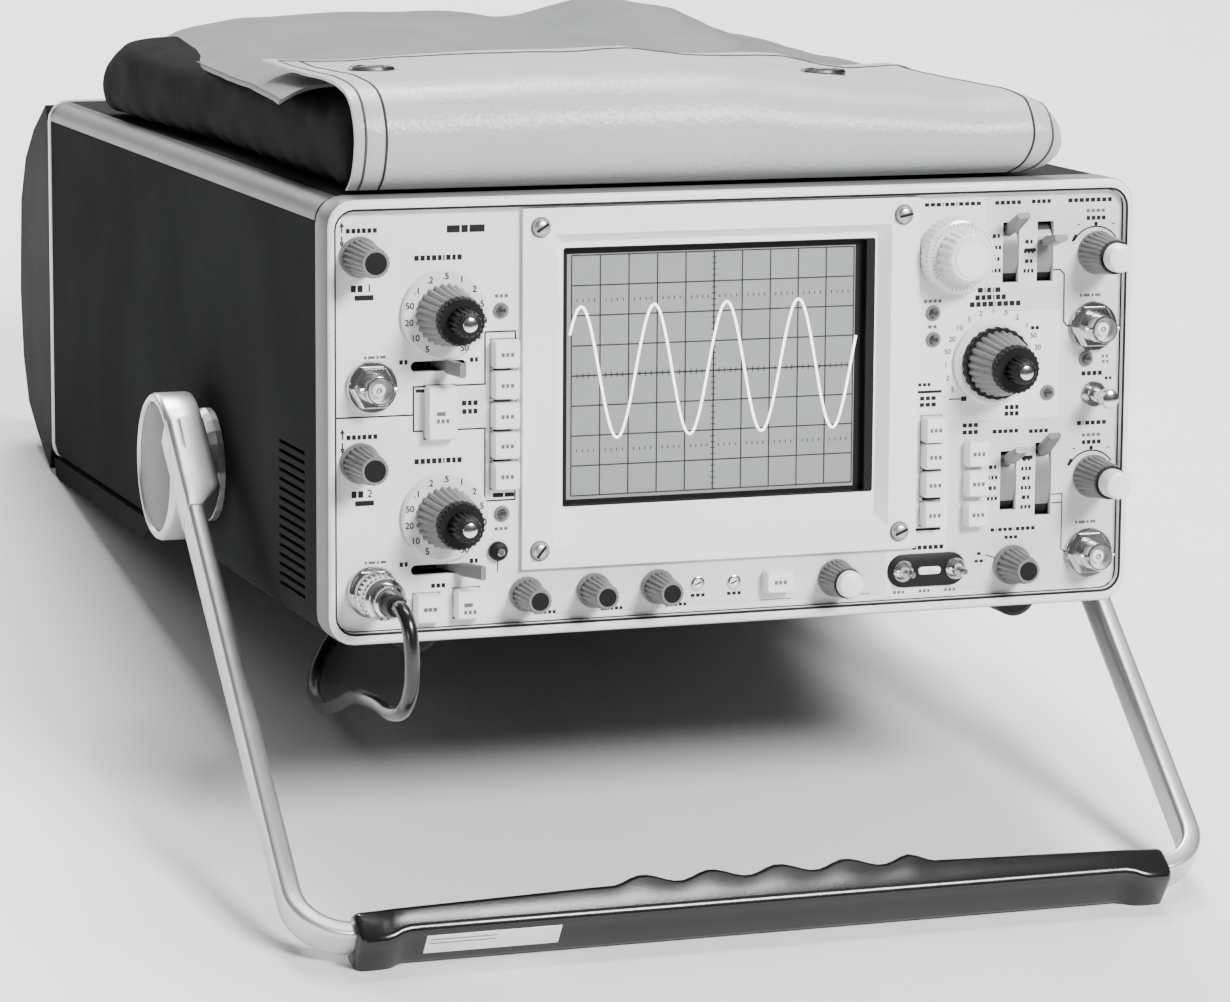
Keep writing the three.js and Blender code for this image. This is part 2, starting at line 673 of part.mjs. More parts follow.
function leadCurve() {
  const [x, z] = sockets[1];
  const start = toFloorFrame(new THREE.Vector3(x, -26, z));
  const points = [start];
  const steps = [
    [0, -4.9, 1.05], [0.6, -10.5, -1.5], [1.6, -14, -12], [2, -13.5, -23], [1.8, -7.5, -33], [1.6, 4, -39],
    [2.4, 20, -43], [4, 40, -49.5], [8, 68, -61], [14, 104, -80], [20, 142, -98],
  ];
  for (const [dx, dy, dz] of steps) {
    points.push(start.clone().add(new THREE.Vector3(dx, dy, dz)));
  }
  const floor = LEAD_D / 2 + 0.1;
  points.push(new THREE.Vector3(-99, 144, floor + 2.6), new THREE.Vector3(-84, 182, floor));
  points.push(new THREE.Vector3(-56, 228, floor), new THREE.Vector3(-22, 276, floor));
  points.push(new THREE.Vector3(coilAt.x - COIL_R - 7, coilAt.y + 12, LEAD_D / 2 + 0.1));
  return new THREE.CatmullRomCurve3(points, false, 'centripetal');
}

function leadCable() {
  const ring = new THREE.Shape();
  for (let i = 0; i < 8; i += 1) {
    const angle = i * Math.PI / 4;
    const x = LEAD_D / 2 * Math.cos(angle);
    const y = LEAD_D / 2 * Math.sin(angle);
    if (i === 0) {
      ring.moveTo(x, y);
    } else {
      ring.lineTo(x, y);
    }
  }
  ring.closePath();
  const options = { steps: 48, bevelEnabled: false, extrudePath: leadCurve() };
  return toSolid(new THREE.ExtrudeGeometry(ring, options));
}

function leadCoil() {
  const profile = [];
  for (let i = 0; i <= 10; i += 1) {
    const angle = i / 10 * 2 * Math.PI;
    profile.push(new THREE.Vector2(COIL_R + 6.2 * Math.cos(angle), 5.8 * Math.sin(angle)));
  }
  const ring = new THREE.LatheGeometry(profile, 32).rotateX(Math.PI / 2);
  return toSolid(ring.translate(coilAt.x, coilAt.y, coilAt.z));
}

function plugFar() {
  const profile = [
    [0, 0], [3.4, 0], [3.6, 6], [5.4, 7.6], [5.4, 12.2], [6.8, 13.2], [6.8, 15], [7.3, 16], [7.3, 25.6],
    [5.1, 25.6], [5.1, 17.3], [0, 17.3],
  ];
  const points = profile.map(([radius, x]) => new THREE.Vector2(radius, x));
  const plug = new THREE.LatheGeometry(points, 20).rotateZ(-Math.PI / 2);
  return toSolid(plug.translate(coilAt.x + COIL_R + 3, coilAt.y + COIL_R + 12, 7.35));
}

const group = new THREE.Group();
group.name = 'oscilloscope';
const instrument = new THREE.Group();
instrument.name = 'instrument';
instrument.rotation.x = -TILT;
instrument.position.copy(lift);
group.add(instrument);

addMesh(instrument, 'cabinet_shell', cabinetShell(), 'cover');
addMesh(instrument, 'front_frame', frontFrame(), 'casting');
addMesh(instrument, 'front_panel', frontPanel(), 'panel');
addMesh(instrument, 'subpanel', subpanel(), 'plate');
addMesh(instrument, 'display_bezel', displayBezel(), 'bezel');
addMesh(instrument, 'display_filter', displayFilter(), 'glass');
addMesh(instrument, 'crt_tube', crtTube(), 'tube');
addMesh(instrument, 'chassis_frame', chassisFrame(), 'plate');
addMesh(instrument, 'main_board', mainBoard(), 'board');
addMesh(instrument, 'rear_panel', rearPanel(), 'guard');
addMesh(instrument, 'fan_rotor', fanRotor(), 'darkKnob');
addMesh(instrument, 'pivot_hub_left', pivotHub(-1), 'alloy');
addMesh(instrument, 'pivot_hub_right', pivotHub(1), 'alloy');
addMesh(instrument, 'handle_bail', handleBail(), 'alloy');
addMesh(instrument, 'handle_grip', handleGrip(), 'grip');
addMesh(instrument, 'pouch_body', pouchBody(), 'vinyl');
addMesh(instrument, 'pouch_flap', pouchFlap(), 'vinyl');

addMesh(instrument, 'knob_ch1_position', smallKnob(-131, 54, 6, 4.4, 19), 'knob');
addMesh(instrument, 'knob_ch2_position', smallKnob(-131, -13.2, 6, 4.4, 17.5), 'knob');
addMesh(instrument, 'knob_intensity', smallKnob(-74, -59.5, 5.2, 3.8, 14.5), 'knob');
addMesh(instrument, 'knob_focus', smallKnob(-50.6, -59.5, 5.2, 3.8, 14.5), 'knob');
addMesh(instrument, 'knob_scale_illum', smallKnob(-28, -59.5, 5.2, 3.8, 14.5), 'knob');
addMesh(instrument, 'knob_holdoff', smallKnob(100.7, -59, 6.2, 4, 14), 'knob');
addMesh(instrument, 'knob_ch1_volts', skirtedKnob(-102.4, 34.4, 14.8, 10.4, 8.2, 20), 'knob');
addMesh(instrument, 'knob_ch2_volts', skirtedKnob(-102.4, -32.2, 14.8, 10.4, 8.2, 20), 'knob');
addMesh(instrument, 'knob_time_div', skirtedKnob(92.2, 11.2, 14.6, 12, 8.4, 21), 'knob');
addMesh(instrument, 'knob_ch1_variable', innerKnob(-102.4, 34.4, 5, 3.9, -17.6, 8), 'knob');
addMesh(instrument, 'knob_ch2_variable', innerKnob(-102.4, -32.2, 5, 3.9, -17.6, 8), 'knob');
addMesh(instrument, 'knob_time_variable', innerKnob(92.2, 11.2, 4.8, 3.7, -18.6, 7), 'knob');
addMesh(instrument, 'knob_horizontal_position', capKnob(35.9, -60.1, 6.2, 5.2, 11, 4.6, 4), 'knob');
addMesh(instrument, 'knob_a_level', capKnob(130.4, -29.8, 7.2, 5.9, 14, 4.9, 8), 'knob');
addMesh(instrument, 'knob_b_level', capKnob(130.4, 47.3, 7.2, 5.9, 14, 4.9, 6), 'knob');
addMesh(instrument, 'knob_delay_time', delayDial(77.2, 48.4), 'clear');
for (const [name, x, z, , rest] of verticalSlots) {
  addMesh(instrument, `lever_${name}`, leverSwitch(x, z, rest, true), 'lever');
}
for (const [name, x, z, , rest] of levelSlots) {
  addMesh(instrument, `lever_${name}`, leverSwitch(x, z, rest, false), 'lever');
}
for (const [name, x, z, width, height] of keys) {
  addMesh(instrument, `key_${name}`, pushKey(x, z, width, height), 'key');
}
addMesh(instrument, 'knob_power', powerKnob(), 'chrome');

addMesh(instrument, 'lead_plug_near', plugNear(), 'chrome');
addMesh(group, 'lead_cable', leadCable(), 'cable');
addMesh(group, 'lead_coil', leadCoil(), 'cable');
addMesh(group, 'lead_plug_far', plugFar(), 'chrome');

// The origin is under the middle of everything but the loose lead.
const extent = new THREE.Box3();
for (const part of instrument.children.filter((child) => child.name !== 'lead_plug_near')) {
  part.updateWorldMatrix(true, false);
  extent.expandByObject(part, true);
}
const middle = extent.getCenter(new THREE.Vector3());
group.position.set(-middle.x, -middle.y, -extent.min.z);

export default group;
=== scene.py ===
import math

import bmesh
import bpy
from mathutils import Matrix, Vector, noise


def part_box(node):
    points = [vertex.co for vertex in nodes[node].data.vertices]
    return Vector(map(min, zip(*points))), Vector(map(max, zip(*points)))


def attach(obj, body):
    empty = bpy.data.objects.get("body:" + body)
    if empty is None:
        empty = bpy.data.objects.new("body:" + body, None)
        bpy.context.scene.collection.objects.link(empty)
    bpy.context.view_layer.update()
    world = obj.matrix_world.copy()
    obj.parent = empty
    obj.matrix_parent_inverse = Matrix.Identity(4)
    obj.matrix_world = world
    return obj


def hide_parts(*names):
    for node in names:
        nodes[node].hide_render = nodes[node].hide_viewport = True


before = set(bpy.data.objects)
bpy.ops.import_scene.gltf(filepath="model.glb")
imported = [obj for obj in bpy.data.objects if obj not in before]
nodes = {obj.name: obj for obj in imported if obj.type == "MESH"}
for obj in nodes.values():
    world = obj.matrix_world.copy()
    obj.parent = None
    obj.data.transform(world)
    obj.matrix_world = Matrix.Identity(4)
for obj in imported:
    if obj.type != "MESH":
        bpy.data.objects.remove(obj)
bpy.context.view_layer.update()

# Driving dimensions, as in the CAD source.
TILT = math.radians(12.2)
ORIGIN = Vector((0.0, -0.188813, 0.161884))
TO_ROW = Matrix.Translation(ORIGIN) @ Matrix.Rotation(-TILT, 4, "X") @ Matrix.Scale(0.001, 4)
PANEL_Y = 3.0
INK_Y = PANEL_Y - 0.08
KNOB_Y = PANEL_Y - 0.3
SCREEN_X, SCREEN_Z = -7.0, 11.6
HUB = Vector((0.0, 149.0, -35.0))
HUB_R = 26.0
ARM_X = 160.2
ARM_LENGTH = 219.5
ARM_DOWN = math.radians(35)
GRIP_HALF = 143.5
LEAD_D = 0.005
FRAME_WIDTH, FRAME_HEIGHT = 285, 146
EDGE_X, EDGE_Z, EDGE_R = 134.5, 64.5, 8.05
OPENING = (SCREEN_X - 53.5, SCREEN_X + 53.5, SCREEN_Z - 42.6, SCREEN_Z + 42.6)
SOCKETS = [(-127, 11.6), (-127, -55.8), (129, 22.2), (129, -56.2)]
CH1_VOLTS, CH2_VOLTS, TIME_DIV = (-102.4, 34.4), (-102.4, -32.2), (92.2, 11.2)
# Lever slots of the two triggers: middle and length.
SLOTS = [(98.2, 48.3, 20.6), (110.9, 48.3, 20.6), (98.8, -29.9, 20.4), (111.8, -29.9, 25.2)]
# The pouch's cloth run: grid in metres, pressure, and the furthest that a point may move in metres.
CLOTH_GRID, CLOTH_PRESSURE, CLOTH_REACH = 0.0052, 4.0, 0.0013
# Camera: place in metres, turn in degrees, focal length in millimetres and shift.
CAMERA_AT, CAMERA_TURN = (-0.56564, -1.59489, 0.70362), (69.1317, -4.5619, -19.42)
CAMERA_LENS, CAMERA_SHIFT = 141.633, (-0.04709, -0.00322)


# ---------------------------------------------------------------- camera
def add_camera():
    data = bpy.data.cameras.new("camera")
    camera = bpy.data.objects.new("camera", data)
    bpy.context.scene.collection.objects.link(camera)
    camera.location = CAMERA_AT
    camera.rotation_euler = [math.radians(a) for a in CAMERA_TURN]
    data.lens = CAMERA_LENS
    data.shift_x, data.shift_y = CAMERA_SHIFT
    data.clip_start = 0.05
    bpy.context.scene.camera = camera


add_camera()


# ---------------------------------------------------------------- materials
def link_noise(tree, kind, scale, stretch=(1, 1, 1), detail=4.0):
    """Noise or Voronoi output in object coordinates, which are metres in the row frame."""
    place = tree.nodes.new("ShaderNodeTexCoord")
    mapping = tree.nodes.new("ShaderNodeMapping")
    mapping.inputs["Scale"].default_value = stretch
    tree.links.new(place.outputs["Object"], mapping.inputs["Vector"])
    texture = tree.nodes.new("ShaderNodeTexVoronoi" if kind == "cells" else "ShaderNodeTexNoise")
    texture.inputs["Scale"].default_value = scale
    if kind != "cells":
        texture.inputs["Detail"].default_value = detail
    tree.links.new(mapping.outputs["Vector"], texture.inputs["Vector"])
    return texture.outputs["Distance" if kind == "cells" else "Fac"]


def surface(name, color, roughness, metallic=0.0, mottle=0.1, patch=14.0, grain=1200.0, relief=0.1,
            kind="noise", stretch=(1, 1, 1), uneven=0.07, **sockets):
    """Material with slow patches in its colour, uneven gloss and a fine grain in its bump."""
    made = bpy.data.materials.new(name)
    made.use_nodes = True
    tree = made.node_tree
    shader = tree.nodes["Principled BSDF"]
    shader.inputs["Metallic"].default_value = metallic
    for key, value in sockets.items():
        shader.inputs[key.replace("_", " ")].default_value = value
    ramp = tree.nodes.new("ShaderNodeValToRGB")
    ramp.color_ramp.elements[0].position = 0.3
    ramp.color_ramp.elements[1].position = 0.7
    ramp.color_ramp.elements[0].color = (*[c * (1 - mottle) for c in color], 1)
    ramp.color_ramp.elements[1].color = (*[min(1.0, c * (1 + mottle)) for c in color], 1)
    tree.links.new(link_noise(tree, "noise", patch, stretch, 6.0), ramp.inputs["Fac"])
    tree.links.new(ramp.outputs["Color"], shader.inputs["Base Color"])
    gloss = tree.nodes.new("ShaderNodeMapRange")
    gloss.inputs["To Min"].default_value = max(0.02, roughness - uneven)
    gloss.inputs["To Max"].default_value = min(1.0, roughness + uneven)
    tree.links.new(link_noise(tree, "noise", patch * 3, stretch, 5.0), gloss.inputs["Value"])
    tree.links.new(gloss.outputs["Result"], shader.inputs["Roughness"])
    bump = tree.nodes.new("ShaderNodeBump")
    bump.inputs["Strength"].default_value = relief
    bump.inputs["Distance"].default_value = 0.0004
    tree.links.new(link_noise(tree, kind, grain, stretch, 3.0), bump.inputs["Height"])
    tree.links.new(bump.outputs["Normal"], shader.inputs["Normal"])
    return made


COVER = surface("cover_paint", (0.030, 0.031, 0.032), 0.6, grain=1500, relief=0.4, mottle=0.14,
                Specular_IOR_Level=0.0)
# Lighter, glossier copy of the cover paint for the strips along the two top edges: a painted highlight.
COVER_EDGE_HIGHLIGHT = surface("painted_edge_highlight", (0.05, 0.051, 0.052), 0.34, grain=1500, relief=0.25, mottle=0.14)
CASTING = surface("frame_casting", (0.80, 0.80, 0.78), 0.38, grain=900, relief=0.05, mottle=0.03)
FRAME_SIDE = surface("frame_side", (0.17, 0.175, 0.175), 0.42, grain=900, relief=0.1, mottle=0.05)
PANEL = surface("panel_paint", (0.80, 0.80, 0.78), 0.42, grain=2200, relief=0.05, mottle=0.02)
PANEL_GREY = surface("panel_grey", (0.66, 0.665, 0.66), 0.45, grain=2200, relief=0.05, mottle=0.03)
BEZEL = surface("bezel_plastic", (0.86, 0.86, 0.84), 0.36, grain=1600, relief=0.04, mottle=0.015)
INK = surface("panel_ink", (0.008, 0.008, 0.008), 0.6, grain=2500, relief=0.02, mottle=0.15,
              Specular_IOR_Level=0.2)
INK_GREY = surface("panel_ink_grey", (0.10, 0.10, 0.10), 0.6, grain=2500, relief=0.02, mottle=0.1)
PHOSPHOR = surface("phosphor", (0.27, 0.285, 0.28), 0.3, mottle=0.04, patch=30, grain=3200,
                   relief=0.03, Coat_Weight=0.6, Coat_Roughness=0.08)
GRID = surface("graticule_ink", (0.02, 0.021, 0.021), 0.4, grain=2500, relief=0.0)
TRACE = surface("trace_glow", (0.9, 0.95, 0.92), 0.5, grain=2500, relief=0.0,
                Emission_Color=(0.93, 1.0, 0.96, 1), Emission_Strength=2.2)
BLACK = surface("black_plastic", (0.005, 0.005, 0.005), 0.45, grain=1800, relief=0.08, mottle=0.15,
                Specular_IOR_Level=0.22)
RUBBER = surface("black_rubber", (0.006, 0.006, 0.006), 0.55, grain=1600, relief=0.12, mottle=0.15,
                 Specular_IOR_Level=0.35)
KNOB = surface("knob_grey", (0.16, 0.165, 0.165), 0.33, grain=2000, relief=0.05, mottle=0.06)
WHITE = surface("white_plastic", (0.83, 0.83, 0.81), 0.32, grain=2000, relief=0.03, mottle=0.02)
SKIRT = surface("clear_skirt", (0.74, 0.75, 0.74), 0.16, grain=1500, relief=0.02, mottle=0.03,
                Coat_Weight=0.8, Coat_Roughness=0.04)
LEVER = surface("lever_grey", (0.16, 0.165, 0.165), 0.4, grain=1800, relief=0.06, mottle=0.08)
CHROME = surface("bright_metal", (0.66, 0.67, 0.68), 0.17, metallic=1.0, grain=700, relief=0.03,
                 mottle=0.05, uneven=0.05)
STEEL = surface("plated_steel", (0.47, 0.48, 0.49), 0.36, metallic=1.0, grain=900, relief=0.08)
ALLOY = surface("handle_alloy", (0.62, 0.63, 0.63), 0.33, metallic=0.85, grain=900, relief=0.06,
                stretch=(1, 1, 5), mottle=0.05)
CAP = surface("hub_cap", (0.10, 0.105, 0.105), 0.45, metallic=0.3, grain=1300, relief=0.12)
DARK_METAL = surface("dark_metal", (0.09, 0.09, 0.09), 0.3, metallic=1.0, grain=900, relief=0.06)
GRIP = surface("grip_black", (0.007, 0.007, 0.0072), 0.2, grain=1100, relief=0.06, mottle=0.2, uneven=0.05)
GUARD = surface("rear_black", (0.010, 0.010, 0.0105), 0.6, grain=1300, relief=0.2, mottle=0.15,
                Specular_IOR_Level=0.05)
LEAD = surface("lead_jacket", (0.006, 0.006, 0.006), 0.24, grain=900, relief=0.04, mottle=0.2,
               Coat_Weight=0.4, Coat_Roughness=0.12)
LABEL = surface("label_plate", (0.78, 0.78, 0.76), 0.3, metallic=0.2, grain=1200, relief=0.03)
VINYL = surface("pouch_vinyl", (0.115, 0.12, 0.122), 0.5, grain=620, relief=0.3, kind="cells",
                mottle=0.08, patch=22)
FLAP = surface("flap_vinyl", (0.40, 0.41, 0.415), 0.38, grain=620, relief=0.3, kind="cells",
               mottle=0.06, patch=18)
GUSSET = surface("pouch_gusset", (0.008, 0.008, 0.0085), 0.7, grain=900, relief=0.35, kind="cells",
                 mottle=0.2, Specular_IOR_Level=0.03)
THREAD = surface("pouch_thread", (0.05, 0.052, 0.054), 0.7, grain=1800, relief=0.2)
LENS = surface("lamp_lens", (0.035, 0.033, 0.033), 0.25, grain=1500, relief=0.02, Coat_Weight=0.7)
BOARD = surface("circuit_board", (0.05, 0.13, 0.07), 0.5, grain=900, relief=0.2)


# ---------------------------------------------------------------- shape tools
def ring(width, height, radius, y, x=0.0, z=0.0, steps=5):
    """Rectangle with rounded corners in a plane of constant depth."""
    points = []
    for sx, sz, quarter in ((1, 1, 0), (-1, 1, 1), (-1, -1, 2), (1, -1, 3)):
        for i in range(steps + 1):
            angle = (quarter + i / steps) * math.pi / 2
            points.append((x + sx * (width / 2 - radius) + radius * math.cos(angle), y,
                           z + sz * (height / 2 - radius) + radius * math.sin(angle)))
    return points


class Shape:
    """Skins collected in the instrument frame, each face with the number of its material."""

    def __init__(self):
        self.points = []
        self.faces = []
        self.looks = []

    def skin(self, rings, look=0, closed=True, caps=True):
        first, count = len(self.points), len(rings[0])
        for one in rings:
            self.points.extend(tuple(p) for p in one)
        for r in range(len(rings) - 1):
            for i in range(count if closed else count - 1):
                a, j = first + r * count, (i + 1) % count
                self.add_face((a + i, a + j, a + count + j, a + count + i), look)
        if caps:
            last = first + (len(rings) - 1) * count
            self.add_face(tuple(range(first, first + count)), look)
            self.add_face(tuple(range(last + count - 1, last - 1, -1)), look)

    def add_face(self, corners, look):
        self.faces.append(corners)
        self.looks.append(look)

    def turned(self, profile, x, z, look=0, sides=40, caps=True):
        """Body of revolution about the depth axis; profile pairs are (radius, y)."""
        rings = []
        for radius, y in profile:
            steps = [i * 2 * math.pi / sides for i in range(sides)]
            rings.append([(x + radius * math.cos(t), y, z + radius * math.sin(t)) for t in steps])
        self.skin(rings, look, caps=caps)

    def fluted(self, profile, x, z, flutes, depth, look=0):
        """As turned, with rounded grooves down its side."""
        sides = flutes * 6
        rings = []
        for radius, y, share in profile:
            one = []
            for i in range(sides):
                t = i * 2 * math.pi / sides
                r = radius - depth * share * (0.5 - 0.5 * math.cos(flutes * t)) ** 1.5
                one.append((x + r * math.cos(t), y, z + r * math.sin(t)))
            rings.append(one)
        self.skin(rings, look)

    def pad(self, width, height, radius, y0, y1, x, z, look=0, ease=0.5):
        """Rounded block from its front at y0 to its back at y1, with an eased front edge."""
        rings = [ring(width - 2 * ease, height - 2 * ease, max(0.1, radius - ease), y0, x, z)]
        rings.append(ring(width - 0.6 * ease, height - 0.6 * ease, radius, y0 + 0.3 * ease, x, z))
        rings.append(ring(width, height, radius, y0 + ease, x, z))
        rings.append(ring(width, height, radius, y1, x, z))
        self.skin(rings, look)

    def block(self, low, high, look=0):
        (x0, y0, z0), (x1, y1, z1) = low, high
        rings = [[(x0, y, z0), (x1, y, z0), (x1, y, z1), (x0, y, z1)] for y in (y0, y1)]
        self.skin(rings, look)

    def stroke(self, points, width, look=0, y=INK_Y):
        """Flat line on the panel through (x, z) points, with mitred corners."""
        path = [Vector(p) for p in points]
        left, right = [], []
        for i, p in enumerate(path):
            before = (p - path[i - 1]).normalized() if i else None
            after = (path[i + 1] - p).normalized() if i + 1 < len(path) else None
            along = ((before or after) + (after or before)).normalized()
            side = Vector((-along.y, along.x))
            base = Vector((-(before or after).y, (before or after).x))
            reach = width / 2 / max(0.3, side.dot(base))
            left.append((p.x + side.x * reach, y, p.y + side.y * reach))
            right.append((p.x - side.x * reach, y, p.y - side.y * reach))
        self.skin([left, right], look, closed=False, caps=False)

    def disc(self, radius, x, z, look=0, y=INK_Y, sides=20):
        self.points.extend((x + radius * math.cos(i * 2 * math.pi / sides), y,
                            z + radius * math.sin(i * 2 * math.pi / sides)) for i in range(sides))
        self.add_face(tuple(range(len(self.points) - sides, len(self.points))), look)

    def figures(self, text, x, z, size, look=0, y=INK_Y):
        """Numerals set flat on the panel."""
        curve = bpy.data.curves.new("figures", "FONT")
        curve.body, curve.size = text, size
        curve.align_x, curve.align_y = "CENTER", "CENTER"
        curve.offset = size * 0.012
        holder = bpy.data.objects.new("figures", curve)
        bpy.context.scene.collection.objects.link(holder)
        graph = bpy.context.evaluated_depsgraph_get()
        flat = bpy.data.meshes.new_from_object(holder.evaluated_get(graph))
        first = len(self.points)
        self.points.extend((x + v.co.x, y, z + v.co.y) for v in flat.vertices)
        for polygon in flat.polygons:
            self.add_face(tuple(first + i for i in polygon.vertices), look)
        bpy.data.objects.remove(holder)
        bpy.data.curves.remove(curve)
        bpy.data.meshes.remove(flat)

    def make(self, name, body, materials, sharp=35, flat=False, placed=TO_ROW):
        mesh = bpy.data.meshes.new(name)
        mesh.from_pydata([placed @ Vector(p) for p in self.points], [], self.faces)
        for one in materials:
            mesh.materials.append(one)
        mesh.polygons.foreach_set("material_index", self.looks)
        sheet = bmesh.new()
        sheet.from_mesh(mesh)
        if flat:
            toward = (placed.to_3x3() @ Vector((0, -1, 0))).normalized()
            for face in sheet.faces:
                face.normal_update()
            bmesh.ops.reverse_faces(sheet, faces=[f for f in sheet.faces if f.normal.dot(toward) < 0])
        else:
            bmesh.ops.recalc_face_normals(sheet, faces=sheet.faces)
        sheet.to_mesh(mesh)
        sheet.free()
        mesh.shade_smooth()
        mesh.set_sharp_from_angle(angle=math.radians(sharp))
        piece = bpy.data.objects.new(name, mesh)
        bpy.context.scene.collection.objects.link(piece)
        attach(piece, body)
        return piece


def soften(piece, width, segments=2):
    """Small rounding on the edges, as a modifier that leaves the mesh itself alone."""
    bevel = piece.modifiers.new("edges", "BEVEL")
    bevel.width = width
    bevel.segments = segments
    bevel.limit_method = "ANGLE"
    bevel.angle_limit = math.radians(40)
    bevel.harden_normals = True


def dress(node, material, rounding=0.0):
    """Gives a CAD node its material, smooth shading and, where asked, softened edges."""
    piece = nodes[node]
    piece.data.materials.clear()
    piece.data.materials.append(material)
    piece.data.shade_smooth()
    piece.data.set_sharp_from_angle(angle=math.radians(32))
    if rounding:
        soften(piece, rounding)


# ---------------------------------------------------------------- patch lead
def catmull_rom(points, per_span):
    """Centripetal curve through the points, as the CAD source draws its route."""
    ends = [points[0] * 2 - points[1], *points, points[-1] * 2 - points[-2]]
    path = []
    for i in range(1, len(ends) - 2):
        p = ends[i - 1:i + 3]
        t = [0.0]
        for a, b in zip(p, p[1:]):
            t.append(t[-1] + max(1e-6, (b - a).length) ** 0.5)
        for k in range(per_span):
            s = t[1] + (t[2] - t[1]) * k / per_span
            a = [p[j].lerp(p[j + 1], (s - t[j]) / (t[j + 1] - t[j])) for j in range(3)]
            b = [a[j].lerp(a[j + 1], (s - t[j]) / (t[j + 2] - t[j])) for j in range(2)]
            path.append(b[0].lerp(b[1], (s - t[1]) / (t[2] - t[1])))
    path.append(points[-1])
    return path


COIL_AT = Vector((0.044, 0.296 + ORIGIN.y, 0.0))
COIL_R = 0.027
COIL_TURNS = 2.75
FAR_PLUG = COIL_AT + Vector((COIL_R + 0.003, COIL_R + 0.012, 0.00735))


def lead_route():
    """Middle of the lead from its plug, under the case and round the coil to the far plug."""
    start = TO_ROW @ Vector((SOCKETS[1][0], -26, SOCKETS[1][1]))
    steps = [(0, -4.9, 1.05), (0.6, -10.5, -1.5), (1.6, -14, -12), (2, -13.5, -23), (1.8, -7.5, -33),
             (1.6, 4, -39), (2.4, 20, -43), (4, 40, -49.5), (8, 68, -61), (14, 104, -80), (20, 142, -98)]
    points = [start, *[start + Vector(step) * 0.001 for step in steps]]
    for x, y, z in ((-99, 144, 5.2), (-84, 182, 2.6), (-56, 228, 2.6), (-22, 276, 2.6)):
        points.append(Vector((x, y, z)) * 0.001 + Vector((0, ORIGIN.y, 0)))
    count = round(COIL_TURNS * 14)
    entry = math.radians(162)
    for i in range(count + 1):
        turn = i / count * COIL_TURNS
        angle = entry - turn * 2 * math.pi
        if turn < 1.0:
            radius, height = 0.0355 - 0.0052 * min(1.0, turn / 0.3), 0.0026
        elif turn < 1.9:
            radius, height = 0.0303 - 0.0056 * min(1.0, (turn - 1.0) / 0.25), 0.0026
        else:
            climb = min(1.0, (turn - 1.9) / 0.3)
            radius, height = 0.0247 + 0.0032 * climb, 0.0026 + 0.0047 * climb
        points.append(COIL_AT + Vector((radius * math.cos(angle), radius * math.sin(angle), height)))
    leave = FAR_PLUG - Vector((0.012, 0.0012, 0.0))
    points += [leave, FAR_PLUG + Vector((0.001, 0, 0))]
    return catmull_rom(points, 5)


def build_lead():
    route = lead_route()
    curve = bpy.data.curves.new("patch_lead", "CURVE")
    curve.dimensions = "3D"
    spline = curve.splines.new("POLY")
    spline.points.add(len(route) - 1)
    for point, at in zip(spline.points, route):
        point.co = (*at, 1)
    spline.use_smooth = True
    curve.bevel_depth = LEAD_D / 2
    curve.bevel_resolution = 4
    curve.use_fill_caps = True
    curve.materials.append(LEAD)
    lead = bpy.data.objects.new("patch_lead", curve)
    bpy.context.scene.collection.objects.link(lead)
    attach(lead, "instrument")
    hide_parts("lead_cable", "lead_coil")
    return lead, route


def plug(name, placed):
    """Coaxial plug along +y of its own frame from the cable end at 0: sleeve, body and bayonet collar."""
    shape = Shape()
    shape.turned([(3.0, 0), (3.4, 0.4), (3.5, 5.4), (3.2, 6.2)], 0, 0, 1)
    shape.turned([(4.6, 5.8), (5.4, 6.6), (5.4, 11.6), (5.0, 12.2)], 0, 0, 0)
    shape.turned([(5.8, 12), (6.9, 13), (6.9, 14.6), (6.4, 15.2)], 0, 0, 0)
    knurl = [(6.6, 15, 0), (7.2, 15.6, 1), (7.2, 21, 1), (6.6, 21.6, 0)]
    shape.fluted(knurl, 0, 0, 26, 0.45, 0)
    shape.turned([(6.6, 21.4), (7.2, 22), (7.2, 25), (6.8, 25.5), (5.4, 25.5), (5.3, 18)], 0, 0, 0)
    return shape.make(name, "instrument", [CHROME, RUBBER], placed=placed)


lead, route = build_lead()
near_at = TO_ROW @ Matrix.Translation((SOCKETS[1][0], -25.6, SOCKETS[1][1]))
near_plug = plug("patch_plug_near", near_at)
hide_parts("lead_plug_near")
far_turn = Matrix.Rotation(math.radians(-90), 4, "Z") @ Matrix.Scale(0.001, 4)
far_plug = plug("patch_plug_far", Matrix.Translation(FAR_PLUG) @ far_turn)
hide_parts("lead_plug_far")


def build_tie():
    """Strap round the coil."""
    angle = math.radians(-60)
    centre = COIL_AT + Vector((COIL_R * math.cos(angle), COIL_R * math.sin(angle), 0.0056))
    out = Vector((math.cos(angle), math.sin(angle), 0))
    along = Vector((-out.y, out.x, 0))
    rings = []
    for side in (-0.0035, 0.0035):
        one = []
        for i in range(24):
            t = i * math.pi / 12
            c, s = math.cos(t), math.sin(t)
            reach = out * (0.0062 * math.copysign(abs(c) ** 0.7, c))
            one.append(centre + reach + Vector((0, 0, 0.0054 * math.copysign(abs(s) ** 0.7, s)))
                       + along * side)
        rings.append(one)
    shape = Shape()
    shape.skin(rings)
    return shape.make("lead_tie", "instrument", [RUBBER], placed=Matrix())


tie = build_tie()


# ---------------------------------------------------------------- case, frame, inside
dress("cabinet_shell", COVER)
dress("front_panel", PANEL, 0.0001)
dress("display_bezel", BEZEL, 0.0003)
dress("rear_panel", GUARD, 0.0008)
dress("chassis_frame", STEEL)
dress("main_board", BOARD)
dress("crt_tube", PHOSPHOR)
dress("fan_rotor", BLACK)
dress("pivot_hub_left", ALLOY)
dress("pivot_hub_right", ALLOY)
for name in nodes:
    if name.startswith("key_"):
        dress(name, WHITE, 0.0004)


